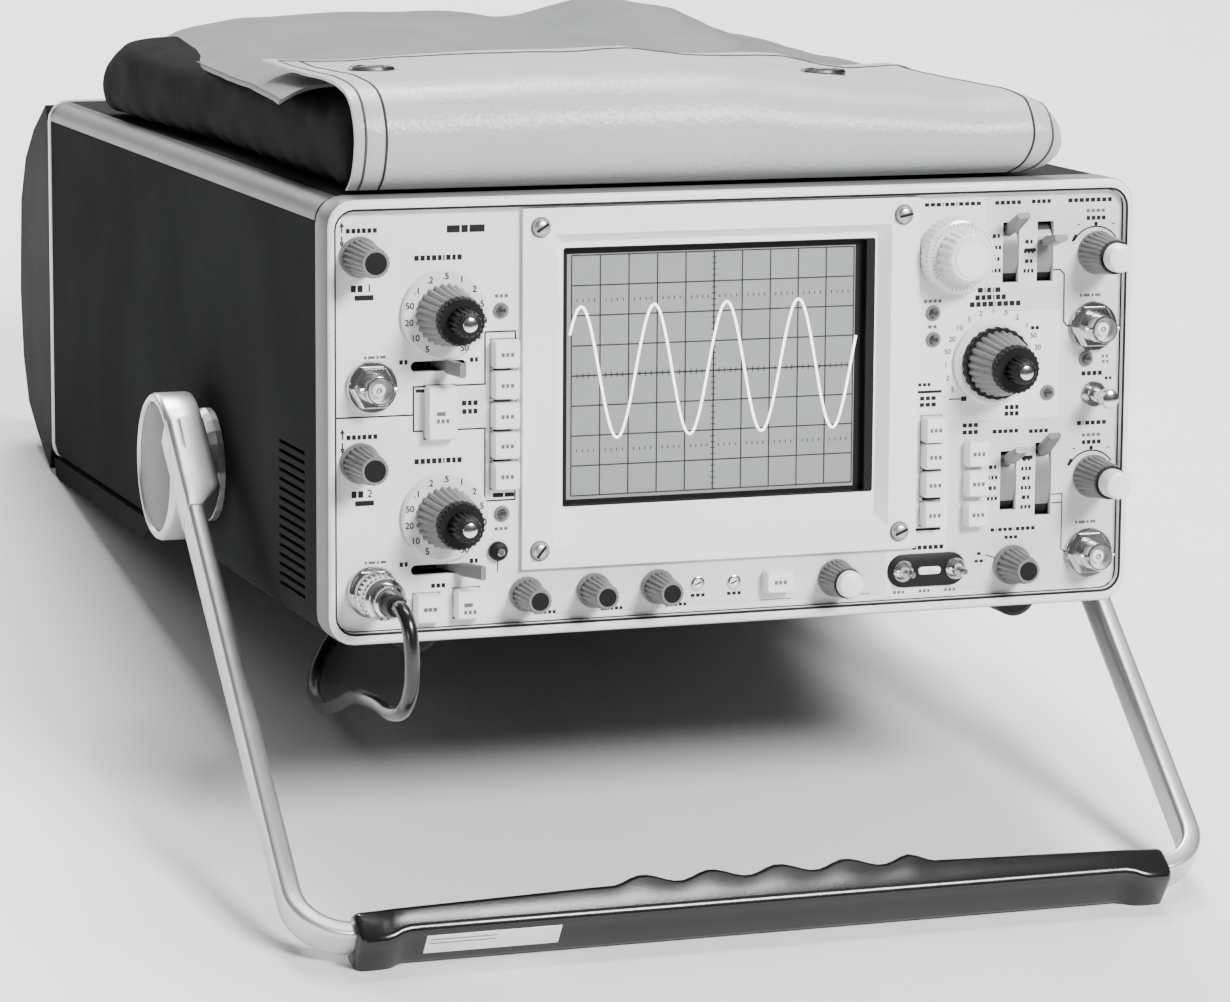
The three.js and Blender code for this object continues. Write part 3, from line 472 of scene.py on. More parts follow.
def build_frame():
    """Cast frame: grey sides, light front face and a dark seal along its inner edge."""
    shape = Shape()
    outer = [ring(FRAME_WIDTH, FRAME_HEIGHT, 9, y) for y in (14, 1.4)]
    shape.skin([*outer, ring(284.4, 145.4, 8.8, 0.9)], 1, caps=False)
    front = [ring(284.4, 145.4, 8.8, 0.9), ring(283.4, 144.4, 8.3, 0.25), ring(282, 143, 7.6, 0)]
    shape.skin([*front, ring(280.4, 139.6, 6.8, 0)], 0, caps=False)
    inner = [ring(280.4, 139.6, 6.8, 0), ring(279.2, 138.2, 6.1, 0.1), ring(279, 138, 6, 0.5)]
    shape.skin(inner, 2, caps=False)
    shape.skin([inner[-1], ring(279, 138, 6, 2.5)], 0, caps=False)
    shape.skin([ring(279, 138, 6, 2.5), ring(279, 138, 6, 14), outer[0]], 2, caps=False)
    piece = shape.make("front_frame_body", "instrument", [CASTING, FRAME_SIDE, INK])
    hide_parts("front_frame")


build_frame()


def build_subpanel():
    """Plate behind the panel, and the coaxial sockets that stand on it."""
    shape = Shape()
    shape.skin([ring(272, 132, 3, 24), ring(272, 132, 3, 26)], 3)
    for x, z in SOCKETS:
        shape.turned([(5.9, 24.2), (5.9, 2.6), (8.6, 2.6), (8.6, 1.6), (8.2, 1.1), (6.0, 1.1)], x, z, 0)
        shape.turned([(7.5, 1.3), (7.7, 0.9), (7.7, -0.7), (7.1, -1.2), (5.0, -1.2)], x, z, 0, sides=6)
        barrel = [(5.2, -1), (4.8, -1.4), (4.8, -7.6), (4.5, -8), (4.1, -8), (4.05, -3)]
        shape.turned(barrel, x, z, 0)
        shape.turned([(4.0, -3), (4.0, -3.6), (2.3, -3.6), (2.2, -5.8), (1.9, -6.1), (1.0, -6.1)], x, z, 1)
        shape.turned([(0.9, -3), (0.9, -6.6), (0.6, -6.6), (0.5, -4)], x, z, 0, sides=16)
        for side in (-1, 1):
            lug = [(x + side * reach, -5 + 0.9 * math.cos(t), z + 0.9 * math.sin(t))
                   for reach in (4.4, 6.1) for t in [k * math.pi / 6 for k in range(12)]]
            shape.skin([lug[:12], lug[12:]], 0)
    piece = shape.make("coaxial_sockets", "instrument", [CHROME, WHITE, CHROME, STEEL])
    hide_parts("subpanel")


build_subpanel()


# ---------------------------------------------------------------- display
def build_screen():
    half_w, half_h, division = 50.0, 40.0, 10.0
    face_y, line_y, trace_y = 7.9, 7.82, 7.74
    shape = Shape()
    shape.skin([ring(115, 91, 2, face_y + 0.05, SCREEN_X, SCREEN_Z),
                ring(115, 91, 2, 9.6, SCREEN_X, SCREEN_Z)], 0)
    x0, z0, x1, z1 = -half_w - 1.6, -half_h - 1.2, half_w + 0.5, half_h + 0.5
    corners = ((x0, z0), (x1, z0), (x1, z1), (x0, z1))
    shape.points.extend((SCREEN_X + x, face_y, SCREEN_Z + z) for x, z in corners)
    shape.add_face(tuple(range(len(shape.points) - 4, len(shape.points))), 1)

    def at(x, z):
        return (SCREEN_X + x, SCREEN_Z + z)

    for i in range(-5, 6):
        width = 0.5 if i == 0 else 0.42
        shape.stroke([at(i * division, -half_h), at(i * division, half_h)], width, 2, line_y)
    for i in range(-4, 5):
        width = 0.5 if i == 0 else 0.42
        shape.stroke([at(-half_w, i * division), at(half_w, i * division)], width, 2, line_y)
    for i in range(-25, 26):
        reach = 1.5 if i % 5 == 0 else 0.9
        shape.stroke([at(i * 2, -reach), at(i * 2, reach)], 0.3, 2, line_y)
        for level in (-25, 25):
            shape.stroke([at(i * 2, level - 0.5), at(i * 2, level + 0.5)], 0.3, 2, line_y)
    for i in range(-20, 21):
        reach = 1.5 if i % 5 == 0 else 0.9
        shape.stroke([at(-reach, i * 2), at(reach, i * 2)], 0.3, 2, line_y)
    wave = []
    for i in range(201):
        x = -50.6 + i * 0.508
        wave.append(at(x, 1.0 + 22.0 * math.cos((x + 46.7) / 25.6 * 2 * math.pi)))
    shape.stroke(wave, 0.9, 3, trace_y)
    piece = shape.make("display_screen", "instrument", [BLACK, PHOSPHOR, GRID, TRACE])
    for polygon in piece.data.polygons:
        if polygon.material_index and (TO_ROW.to_3x3() @ Vector((0, -1, 0))).dot(polygon.normal) < 0:
            polygon.flip()
    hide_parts("display_filter")


def build_screen_reveal():
    """Dark edge round the opening, wider on the right."""
    left, right, low, high = OPENING
    x, z = (left + right) / 2, (low + high) / 2
    wide, tall = right - left, high - low
    outer = ring(wide + 3.4, tall + 0.8, 0.8, 4.94, x + 1.3, z)
    shape = Shape()
    shape.skin([outer, ring(wide - 0.1, tall - 0.1, 0.5, 4.94, x, z),
                ring(wide - 0.1, tall - 0.1, 0.5, 7.7, x, z)], 0, caps=False)
    shape.make("display_reveal", "instrument", [BLACK])


build_screen()
build_screen_reveal()


def build_display_screws():
    shape = Shape()
    for x, z, turn in ((-70, 62, 0.6), (58, 62.5, 0.2), (-70, -45, 0.9), (58, -45, 0.4)):
        shape.turned([(3.4, 1.2), (3.4, 0.7), (3.2, 0.5), (0.6, 0.5)], x, z, 1)
        shape.turned([(2.9, 0.7), (2.9, -0.2), (2.5, -0.8), (1.6, -1.2), (0.5, -1.3)], x, z, 0)
        c, s = math.cos(turn), math.sin(turn)
        shape.stroke([(x - 2.4 * c, z - 2.4 * s), (x + 2.4 * c, z + 2.4 * s)], 0.9, 2, -1.36)
    shape.make("display_screws", "instrument", [STEEL, KNOB, INK])


build_display_screws()


# ---------------------------------------------------------------- knobs
def small_knob(name, x, z, radius, tip, length, flutes=20):
    start, end = KNOB_Y, KNOB_Y - length
    shape = Shape()
    shape.turned([(radius + 0.7, start), (radius + 0.7, start - 1.0), (radius + 0.2, start - 1.5)], x, z, 2)
    body = [(radius, start - 1.4, 1), (tip + 0.6, end + 1.2, 1), (tip + 0.35, end + 0.4, 0.4), (tip, end, 0)]
    shape.fluted(body, x, z, flutes, 0.7, 0)
    shape.turned([(tip - 0.7, end + 0.2), (tip - 0.8, end - 0.12), (0.3, end - 0.12)], x, z, 1)
    piece = shape.make(name + "_body", name, [KNOB, BLACK, KNOB])
    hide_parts(name)


def dial_figures(shape, x, z, radius, size, labels, look, y, span=300.0):
    for i, text in enumerate(labels):
        angle = math.radians(90 + span / 2 - span * i / (len(labels) - 1))
        shape.figures(text, x + radius * math.cos(angle), z + radius * math.sin(angle), size, look, y)


def skirted_knob(name, x, z, skirt, radius, tip, length, labels, base_ring):
    start, end = KNOB_Y, KNOB_Y - length
    shape = Shape()
    plate = [(skirt, start), (skirt, start - 1.2), (skirt - 0.7, start - 1.9), (1, start - 2.0)]
    shape.turned(plate, x, z, 2)
    if base_ring:
        shape.turned([(skirt - 0.9, start - 1.9), (skirt - 1.2, start - 2.6), (1, start - 2.6)], x, z, 2)
        shape.fluted([(radius + 0.5, start - 2, 1), (radius + 0.5, start - 4.4, 1), (radius, start - 5, 0)],
                     x, z, 24, 0.5, 1)
    else:
        dial_figures(shape, x, z, skirt - 2.1, 3.0, labels, 3, start - 2.12)
    front = end + 3.2
    body = [(radius, start - 2, 1), (radius - 0.5, start - 4, 1), (tip + 0.35, front + 0.5, 1),
            (tip, front, 0.4)]
    shape.fluted(body, x, z, 26, 0.8, 0)
    crown = [(tip - 0.1, front, 1), (tip - 0.1, end + 0.8, 1), (tip - 0.8, end, 0), (5.2, end, 0)]
    shape.fluted(crown, x, z, 26, 0.6, 1)
    piece = shape.make(name + "_body", name, [KNOB, BLACK, SKIRT, INK])
    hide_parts(name)


def inner_knob(name, x, z, radius, tip, start, length):
    end = start - length
    shape = Shape()
    body = [(radius, start, 1), (tip + 0.5, end + 1.4, 1), (tip, end + 0.6, 0.2), (tip - 0.6, end + 0.3, 0)]
    shape.fluted(body, x, z, 16, 0.6, 0)
    shape.turned([(2.5, end + 0.5), (2.4, end), (2.0, end - 0.25), (0.3, end - 0.3)], x, z, 1)
    piece = shape.make(name + "_body", name, [BLACK, CHROME])
    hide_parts(name)


def level_knob(name, x, z, radius, tip, length, cap, cap_length):
    start, front = KNOB_Y, KNOB_Y - length
    shape = Shape()
    body = [(radius + 0.3, start, 0), (radius, start - 0.5, 1), (tip + 0.2, front + 0.5, 1),
            (tip, front, 0.3)]
    shape.fluted(body, x, z, 24, 0.7, 0)
    shape.turned([(tip - 0.1, front + 0.4), (tip - 0.1, front - 0.8), (cap, front - 1)], x, z, 1)
    end = front - cap_length
    profile = [(cap, front), (cap, end + 1.6), (cap - 0.5, end + 0.5), (cap - 1.5, end), (0.3, end - 0.1)]
    shape.turned(profile, x, z, 2)
    piece = shape.make(name + "_body", name, [KNOB, BLACK, WHITE])
    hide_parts(name)


small_knob("knob_ch1_position", -131, 54, 6, 4.4, 19)
small_knob("knob_ch2_position", -131, -13.2, 6, 4.4, 17.5)
for label, knob_x in (("intensity", -74), ("focus", -50.6), ("scale_illum", -28)):
    small_knob("knob_" + label, knob_x, -59.5, 5.2, 3.8, 14.5, 18)
small_knob("knob_holdoff", 100.7, -59, 6.2, 4, 14, 18)
VOLTS = ["5", "10", "20", "50", ".1", ".2", ".5", "1", "2", "5", "10", "20", "50"]
skirted_knob("knob_ch1_volts", *CH1_VOLTS, 14.8, 10.4, 8.2, 20, VOLTS, False)
skirted_knob("knob_ch2_volts", *CH2_VOLTS, 14.8, 10.4, 8.2, 20, VOLTS, False)
skirted_knob("knob_time_div", *TIME_DIV, 14.6, 12, 8.4, 21, VOLTS, True)
inner_knob("knob_ch1_variable", *CH1_VOLTS, 5, 3.9, -17.6, 8)
inner_knob("knob_ch2_variable", *CH2_VOLTS, 5, 3.9, -17.6, 8)
inner_knob("knob_time_variable", *TIME_DIV, 4.8, 3.7, -18.6, 7)
level_knob("knob_horizontal_position", 35.9, -60.1, 6.2, 5.2, 11, 4.6, 4)
level_knob("knob_a_level", 130.4, -29.8, 7.2, 5.9, 14, 4.9, 8)
level_knob("knob_b_level", 130.4, 47.3, 7.2, 5.9, 14, 4.9, 6)


def build_delay_dial():
    x, z, start = 77.2, 48.4, KNOB_Y
    shape = Shape()
    rim = [(13.0, start), (13.0, start - 5.4), (12.3, start - 6.6), (11, start - 7.2), (9.5, start - 7.2)]
    shape.fluted([(*station, 1 if i < 2 else 0) for i, station in enumerate(rim)], x, z, 40, 0.25, 0)
    grip = [(9.4, start - 7, 1), (8.8, start - 13.8, 1), (8.2, start - 14.8, 0.3), (7.4, start - 15.4, 0)]
    shape.fluted(grip, x, z, 22, 0.6, 0)
    shape.turned([(6.2, start - 15.2), (6.0, start - 15.7), (0.3, start - 15.7)], x, z, 1)
    for i in range(50):
        angle = i * math.pi / 25
        reach = 11.9 if i % 5 == 0 else 11.3
        c, s = math.cos(angle), math.sin(angle)
        shape.stroke([(x + 10.5 * c, z + 10.5 * s), (x + reach * c, z + reach * s)], 0.22, 2, start - 7.3)
    piece = shape.make("knob_delay_time_body", "knob_delay_time", [SKIRT, WHITE, INK_GREY])
    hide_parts("knob_delay_time")


build_delay_dial()


def build_power_knob():
    x, z = 130, -1.3
    shape = Shape()
    handle = [(2.2, 12), (2.2, -5.8), (3.0, -6.8), (3.3, -7.4), (3.4, -10.2), (2.9, -11.4), (1.6, -12)]
    shape.turned(handle, x, z)
    piece = shape.make("power_knob_body", "knob_power", [CHROME])
    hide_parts("knob_power")
    collar = Shape()
    collar.turned([(4.6, 3.2), (4.6, 2.2), (4.2, 1.7), (2.7, 1.7), (2.6, 6)], x, z)
    collar.make("power_collar", "instrument", [CHROME])


build_power_knob()
for name in nodes:
    if name.startswith("lever_"):
        dress(name, LEVER, 0.0003)


# ---------------------------------------------------------------- panel print
def legend(shape, x, z, widths, height=1.5, look=0):
    """A word stood for by short bars, left to right from x."""
    for width in widths:
        shape.stroke([(x, z), (x + width, z)], height, look)
        x += width + 0.55


def centred(shape, x, z, widths, height=1.5, look=0):
    total = sum(widths) + 0.55 * (len(widths) - 1)
    legend(shape, x - total / 2, z, widths, height, look)


def arc(shape, x, z, radius, start, end, width, look=0):
    steps = 14
    angles = [math.radians(start + (end - start) * i / steps) for i in range(steps + 1)]
    shape.stroke([(x + radius * math.cos(a), z + radius * math.sin(a)) for a in angles], width, look)


def tint(shape, x0, z0, x1, z1, holes=()):
    """Rectangle of grey paint, left open over the (x, z, length) slots."""
    tint_y = PANEL_Y - 0.04
    quads = []
    left = x0
    for x, z, length in holes:
        quads.append((left, z0, x - 3.1, z1))
        quads.append((x - 3.1, z0, x + 3.1, z - length / 2 - 0.1))
        quads.append((x - 3.1, z + length / 2 + 0.1, x + 3.1, z1))
        left = x + 3.1
    quads.append((left, z0, x1, z1))
    for a, b, c, d in quads:
        first = len(shape.points)
        shape.points.extend([(a, tint_y, b), (c, tint_y, b), (c, tint_y, d), (a, tint_y, d)])
        shape.add_face((first, first + 1, first + 2, first + 3), 0)


def build_tints():
    shape = Shape()
    tint(shape, 88.5, 28.2, 138.6, 68, SLOTS[:2])
    tint(shape, 117, -8.6, 138.6, 28.2)
    tint(shape, 76.5, -67, 138.6, -8.6, SLOTS[2:])
    tint(shape, -112.8, -3.6, -88.4, 11)
    tint(shape, -77, -67, 54, -51.8)
    shape.make("panel_tints", "instrument", [PANEL_GREY], flat=True)


def words(shape, *marks):
    """Several centred words; each mark is x, z, its bars' widths, their height and, for grey, 1."""
    for mark in marks:
        centred(shape, *mark)


def print_vertical(shape):
    """Marks of the two vertical channels and their keys, left of the display."""
    shape.stroke([(-139.2, 1.8), (-112.8, 1.8), (-112.8, 11.0), (-88.4, 11.0), (-88.4, 28.1), (-78, 28.1),
                  (-78, 25.2)], 0.5)
    shape.stroke([(-112.8, 2.05), (-112.8, -3.6), (-109.6, -3.6)], 0.5)
    shape.stroke([(-98.2, -3.6), (-88.4, -3.6), (-88.4, -27.7), (-78, -27.7), (-78, -14.4)], 0.5)
    for z in (15.9, 5.8, -4.2, -14.3):
        shape.stroke([(-85.4, z), (-79.6, z)], 1.1)
        shape.figures("5", -77.4, z, 2.0)
    centred(shape, -82, -26.0, [3.6, 3.2], 1.4)
    for z in (54, -13.2):
        shape.stroke([(-136.8, z + 10.4), (-136.8, z + 7.9)], 0.45)
        shape.stroke([(-136.8, z + 6.9), (-136.8, z + 4.6)], 0.45)
        for tip in (1, -1):
            end = z + 7.4 + tip * 3.6
            shape.stroke([(-137.4, end - tip * 1.2), (-136.8, end), (-136.2, end - tip * 1.2)], 0.4)
        legend(shape, -135.4, z + 8.5, [1.3, 1.3, 1.1, 1.3, 1.3, 1.3], 1.5)
        legend(shape, -133.8, z - 10.3, [1.7, 1.7], 2.2)
        shape.figures("1" if z > 0 else "2", -127.6, z - 10.3, 3.6)
        shape.stroke([(-132.6, z - 13.3), (-126.2, z - 13.3)], 1.7)
    for z in (34.4, -32.2):
        centred(shape, -104.4, z + 18.6, [1.5, 1.5, 1.3, 1.5, 1.2, 0.5, 1.5, 1.2, 1.5], 1.7)
        centred(shape, -116.2, z - 15.2, [1.2, 1.0], 1.5)
        centred(shape, -92.2, z - 15.2, [1.2, 1.0], 1.5)
        shape.stroke([(-118.2, z - 15.2), (-118.0, z - 15.2)], 0.3)
    centred(shape, -104.4, -55.0, [1.3, 1.2, 1.2], 1.4)
    for x, z in SOCKETS[:2]:
        centred(shape, x + 1.2, z + 9.6, [0.8, 2.2, 0.8, 1.8], 0.9, 1)
    for x, z in SOCKETS[2:]:
        centred(shape, x - 1.0, z + 10.6, [0.8, 2.4, 0.8, 2.0], 1.0, 1)
    words(shape,
          (-82.8, 39.8, [1.2, 1.0, 1.2], 1.0, 1),
          (-82.8, -37.2, [1.2, 1.0, 1.2], 1.0, 1),
          (-93.6, 5.0, [1.5, 1.3, 1.5], 1.6),
          (-93.6, 2.2, [1.5, 1.3, 1.3], 1.6))
    legend(shape, -112, 9.6, [3.2, 2.4, 2.4, 1.6], 1.1)
    centred(shape, -95, 62.2, [4.4, 2.2, 5.2], 2.4)
    shape.stroke([(-84, -47.6), (-84, -51.6)], 0.35)


def print_below_display(shape):
    """Marks under the display."""
    for x in (-74, -50.6, -28):
        centred(shape, x + 6.5, -66.0, [1.1, 1.1, 1.0, 1.1, 1.0], 1.1)
    for x in (-13.7, -0.8):
        centred(shape, x, -63.3, [1.3, 1.3, 1.2], 1.1)
    for x in (14.3, 42.8):
        shape.stroke([(x - 5.6, -66.2), (x + 5.6, -66.2)], 0.3, 1)


def print_time_base(shape):
    """Marks of the time base and the triggers, right of the display."""
    words(shape,
          (76.6, 65.3, [1.6, 1.6, 1.6, 0.4, 1.4, 1.6, 0.4, 1.6, 1.6, 1.6, 1.6], 1.2),
          (96.8, 65.3, [1.5, 1.5, 1.4, 1.5, 1.4], 1.3),
          (109.1, 65.4, [1.4, 1.3, 1.4, 1.3], 1.3),
          (127.2, 65.4, [1.6, 1.5, 1.6, 1.5, 1.6, 1.5, 1.6, 1.5], 1.4))
    for z in (47.3, -29.8):
        centred(shape, 129.4, z + 14.4, [1.3, 1.3, 1.3, 1.3], 1.1, 1)
        centred(shape, 129.6, z + 11.9, [1.3, 1.4, 1.3, 1.4], 1.4)
        arc(shape, 129.6, z - 0.2, 9.2, 35, 150, 0.5)
        shape.disc(0.7, 129.6, z + 9.9)
        shape.stroke([(121.0, z + 4.0), (122.2, z + 6.4)], 0.9)
        for x in (123.2, 136.0):
            shape.stroke([(x - 0.6, z + 9.8), (x + 0.6, z + 9.8)], 0.35)
    shape.stroke([(113.9, 41.9), (116.6, 41.9), (118.1, 40.4), (118.3, 24.0), (119.6, 22.5), (122, 22.5)],
                 0.5)
    shape.stroke([(115.0, -35.4), (119.0, -35.4), (119.0, -54.4), (120.4, -55.7), (123, -55.7)], 0.4)
    shape.stroke([(115.0, -38.4), (119.0, -38.4)], 0.4)
    words(shape,
          (90.4, 35.8, [1.9, 0.4, 1.5, 0.4, 1.9], 1.7),
          (91.0, 33.3, [1.7, 1.5, 1.7, 0.5, 1.6, 1.5], 1.7))
    legend(shape, 83.4, 31.0, [1.8, 1.7, 1.7, 1.8, 0.3, 1.8, 1.7, 1.8, 1.7], 1.7)
    figures = ["5", "2", "1", "50", "20", "10", "5", "2", "1", ".5", ".2", ".1", "50", "20"]
    for i, text in enumerate(figures):
        angle = math.radians(212 - 15.2 * i)
        shape.figures(text, 92.2 + 17.2 * math.cos(angle), 11.2 + 17.2 * math.sin(angle), 2.5)
    legend(shape, 106.2, 22.3, [1.2, 1.2], 1.2)
    words(shape,
          (99.6, -4.6, [1.3, 1.4, 1.3], 1.5),
          (99.6, -6.8, [1.3, 1.4, 1.3], 1.5))
    legend(shape, 76.2, -1.0, [4.6], 0.4)
    legend(shape, 80.8, -1.0, [2.0], 1.6)
    words(shape,
          (69.8, 32.7, [1.2, 1.2, 1.2, 1.2], 1.1, 1),
          (69.8, 24.0, [1.4, 1.2], 1.1, 1),
          (67.2, 4.4, [1.2, 1.2, 1.0], 1.1))
    shape.stroke([(63.6, 1.9), (73.6, 1.9)], 0.9)
    words(shape,
          (68.6, -0.3, [1.6, 1.5, 1.6], 1.3),
          (68.6, -2.5, [1.6, 1.6, 1.6], 1.3))
    for z in (-24.7, -34.6):
        shape.stroke([(67.0, z), (73.8, z)], 1.1)
    shape.stroke([(63.8, -45.2), (74, -45.2)], 0.9)
    shape.stroke([(64.2, -4.6), (64.2, -45.2)], 0.3, 1)
    words(shape,
          (84.4, -10.2, [1.5, 1.5, 1.5], 1.4),
          (84.4, -12.6, [1.5, 1.5, 1.5], 1.4),
          (97.4, -12.8, [1.5, 1.5, 1.4, 1.5, 1.4], 1.3),
          (109.7, -13.2, [1.4, 1.3, 1.4, 1.3], 1.3),
          (129.5, -11.2, [1.6, 0.4, 1.6, 1.5, 1.6, 1.5], 1.4))
    for x, z, rows, pitch in ((92.7, 48.2, 4, 3.9), (104.8, 46.8, 4, 3.3), (92.9, -30.4, 4, 3.6),
                              (105.4, -31.0, 6, 3.3)):
        for i in range(rows):
            centred(shape, x, z + (rows - 1) / 2 * pitch - i * pitch,
                    [0.9, 0.8, 0.9] if i % 2 else [1.3, 0.9], 1.3)
    shape.stroke([(103.2, 48.9), (107.4, 48.9)], 1.3)
    shape.stroke([(103.6, -22.2), (107.8, -22.2)], 1.3)
    words(shape,
          (100.8, -46.7, [1.4, 0.3, 1.4, 1.3, 1.4, 0.3, 1.4, 1.3, 1.4, 1.3], 1.2),
          (100.2, -49.5, [1.2, 1.2, 1.2], 1.1),
          (88.4, -54.6, [1.4], 1.0),
          (88.4, -57.2, [1.3, 1.3], 1.0))
    shape.stroke([(90.8, -55.2), (94.6, -56.4)], 0.35)
    centred(shape, 69.4, -51.4, [1.5, 1.4, 1.5, 1.4, 1.5, 1.4], 1.4)
    for x in (59, 68.4, 77.8):
        centred(shape, x, -66.4, [1.0, 1.0, 0.9], 1.0, 1)
    words(shape,
          (129.2, 5.9, [1.5, 1.5, 1.5, 1.5], 1.5),
          (134.0, 11.6, [1.0, 0.9], 1.0, 1),
          (135.4, 4.0, [1.0, 0.9], 1.0),
          (134.2, 9.8, [1.0, 0.9], 1.0, 1))


def build_print():
    shape = Shape()
    print_vertical(shape)
    print_below_display(shape)
    print_time_base(shape)
    shape.make("panel_print", "instrument", [INK, INK_GREY], flat=True)


def build_key_print():
    """Short bars on the key caps; each rides with its own key."""
    key_y = -1.66
    widths = {"key_bandwidth": [1.6, 1.4], "key_invert": [1.4, 1.3, 1.4], "key_beam_find": [1.6, 1.4]}
    for name in sorted(n for n in nodes if n.startswith("key_")):
        low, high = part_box(name)
        middle = TO_ROW.inverted() @ ((low + high) / 2)
        shape = Shape()
        bars = [(k, width, middle.z) for k, width in enumerate(widths.get(name, [1.1, 1.0, 1.1]))]
        if name in ("key_bandwidth", "key_beam_find"):
            bars += [(k, 1.0, middle.z - 2.4) for k in range(3)]
        for k, width, z in bars:
            left = middle.x - 2.2 + k * 1.6
            shape.stroke([(left, z), (left + width, z)], 1.3, 0, key_y)
        shape.make(name + "_mark", name, [INK_GREY], flat=True)


def build_small_fittings():
    """Lamps, trimmer holes, ground post, calibrator loops, slot liners."""
    shape = Shape()
    for x, z in ((-83, 35), (-82.6, -32.2), (69.9, 28.7), (70.1, 19.7), (126.8, 11), (112.7, -0.1)):
        shape.turned([(2.6, 3.1), (2.6, 2.4), (2.3, 2.1), (1.7, 2.1)], x, z, 5, 28)
        shape.turned([(1.7, 3), (1.7, 1.7), (1.2, 1.0), (0.4, 0.8)], x, z, 1, 24)
    for x, z in ((-13.7, -59.3), (-0.8, -59.5)):
        shape.turned([(2.4, 3.1), (2.4, 2.5), (2.1, 2.3), (1.7, 2.3), (1.7, 2.9)], x, z, 0, 28)
        shape.turned([(1.6, 3.1), (1.6, 2.7), (0.2, 2.7)], x, z, 2, 24)
        shape.stroke([(x - 1.2, z - 0.5), (x + 1.2, z + 0.5)], 0.5, 3, 2.6)
    shape.turned([(3.2, 3.1), (3.2, 1.4), (2.7, 0.7), (1.6, 0.4), (0.4, 0.3)], -84, -44.5, 3, 28)
    shape.turned([(1.3, 1), (1.3, -1.2), (0.9, -1.6)], -84, -44.5, 0, 20)
    shape.pad(28.6, 11.4, 5.6, 2.3, 3.2, 69, -59.1, 3, 0.3)
    post = [(3.7, 2.5), (3.7, 1.8), (3.2, 1.2), (2.1, 0.4), (1.6, -1.6), (1.0, -2.2)]
    for x in (60.3, 79.5):
        shape.turned(post, x, -59.1, 0, 28)
        shape.turned([(1.2, 2.6), (1.1, -5.2), (0.7, -5.6)], x + 0.4, -59.1, 0, 16)
    shape.pad(8.2, 2.6, 1.2, 1.9, 2.6, 69.9, -59.3, 4, 0.2)
    for x, z, length in SLOTS:
        curve = []
        for i in range(13):
            t = math.radians(-42 + 7 * i)
            up = z + length / 2 * math.sin(t) / math.sin(math.radians(42))
            curve.append([(x + side, 16.5 - 13.5 * math.cos(t), up) for side in (-2.9, 2.9)])
        first = len(shape.points)
        shape.points.extend(p for pair in curve for p in pair)
        for i in range(12):
            shape.add_face((first + 2 * i, first + 2 * i + 1, first + 2 * i + 3, first + 2 * i + 2),
                           5 if 1 < i < 10 else 3)
    for z in (17.6, -49.6):
        shape.pad(20.6, 5.0, 1.8, 11.4, 12.0, -104.2, z, 3, 0.2)
        shape.skin([ring(19.6, 4.0, 1.9, y, -104.2, z) for y in (4.6, 11.5)], 3, caps=False)
    shape.make("panel_fittings", "instrument", [CHROME, LENS, WHITE, BLACK, WHITE, KNOB])


build_tints()
build_print()
build_key_print()
build_small_fittings()


# ---------------------------------------------------------------- handle
ALONG = Vector((0, -math.cos(ARM_DOWN), -math.sin(ARM_DOWN)))
ACROSS = Vector((0, -math.sin(ARM_DOWN), math.cos(ARM_DOWN)))


def handle_point(x, reach, lift):
    point = HUB + ALONG * reach + ACROSS * lift
    return (x, point.y, point.z)


def bail_ring(x, reach, side_x, side_reach, thickness, width, lift=0.0, count=24, squareness=0.4):
    one = []
    for i in range(count):
        t = (i + 0.5) * 2 * math.pi / count
        c, s = math.cos(t), math.sin(t)
        a = thickness / 2 * math.copysign(abs(c) ** squareness, c)
        b = width / 2 * math.copysign(abs(s) ** squareness, s)
        one.append(handle_point(x + side_x * a, reach + side_reach * a, b + lift))
    return one


def build_bail():
    """Round-cornered bow: each arm leaves the front of its drum and runs down to the grip."""
    shape = Shape()
    corner, start = 18.0, 4.0
    straight = ARM_LENGTH - corner - start
    for side in (-1, 1):
        rings = []
        for share in (0.0, 0.09, 0.18, 0.34, 0.5, 0.66, 0.83, 1.0):
            size = (6 + share, 14 - 2.8 * share)
            rings.append(bail_ring(side * ARM_X, start + share * straight, 1, 0, *size, 19.6 - 22 * share))
        for i in range(1, 9):
            turn = i / 8 * math.pi / 2
            x = side * (ARM_X - corner * (1 - math.cos(turn)))
            reach = ARM_LENGTH - corner + corner * math.sin(turn)
            rings.append(bail_ring(x, reach, math.cos(turn), side * math.sin(turn), 7, 11.2, -2.4))
        rings.append(bail_ring(side * 0.2, ARM_LENGTH, 0, side, 7, 11.2, -2.4))
        shape.skin(rings, 0)
        root = [(3, 13.2), (3.6, 13.6), (33, 13.6), (36, 12), (42, 6)]
        shape.skin([root_ring(side, reach, thickness) for reach, thickness in root], 0)
        drum = [(14, 150), (HUB_R - 1.2, 150), (HUB_R - 0.2, 150.5), (HUB_R, 151.4), (HUB_R, 161.6)]
        drum += [(HUB_R - 0.5, 162.8), (HUB_R - 1.4, 163.5), (HUB_R - 2.8, 163.5), (HUB_R - 3.3, 162.8)]
        shape.skin(hub_rings(side, [*drum, (HUB_R - 3.5, 161.8)]), 0)
        face = [(HUB_R - 3.6, 161), (HUB_R - 3.6, 162.7), (HUB_R - 4.2, 162.95), (1, 163.0)]
        shape.skin(hub_rings(side, face), 1)
        shape.skin(hub_rings(side, [(12, 145), (12, 150.4), (7.4, 150.4)]), 2)
    piece = shape.make("handle_bail_body", "handle", [ALLOY, CAP, BLACK], sharp=40)
    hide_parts("handle_bail")


def root_ring(side, reach, thickness):
    lift = 19.6 - 22 * (reach - 4) / (ARM_LENGTH - 22)
    return bail_ring(side * (163.4 - thickness / 2), reach, 1, 0, thickness, 13.8, lift, squareness=0.25)


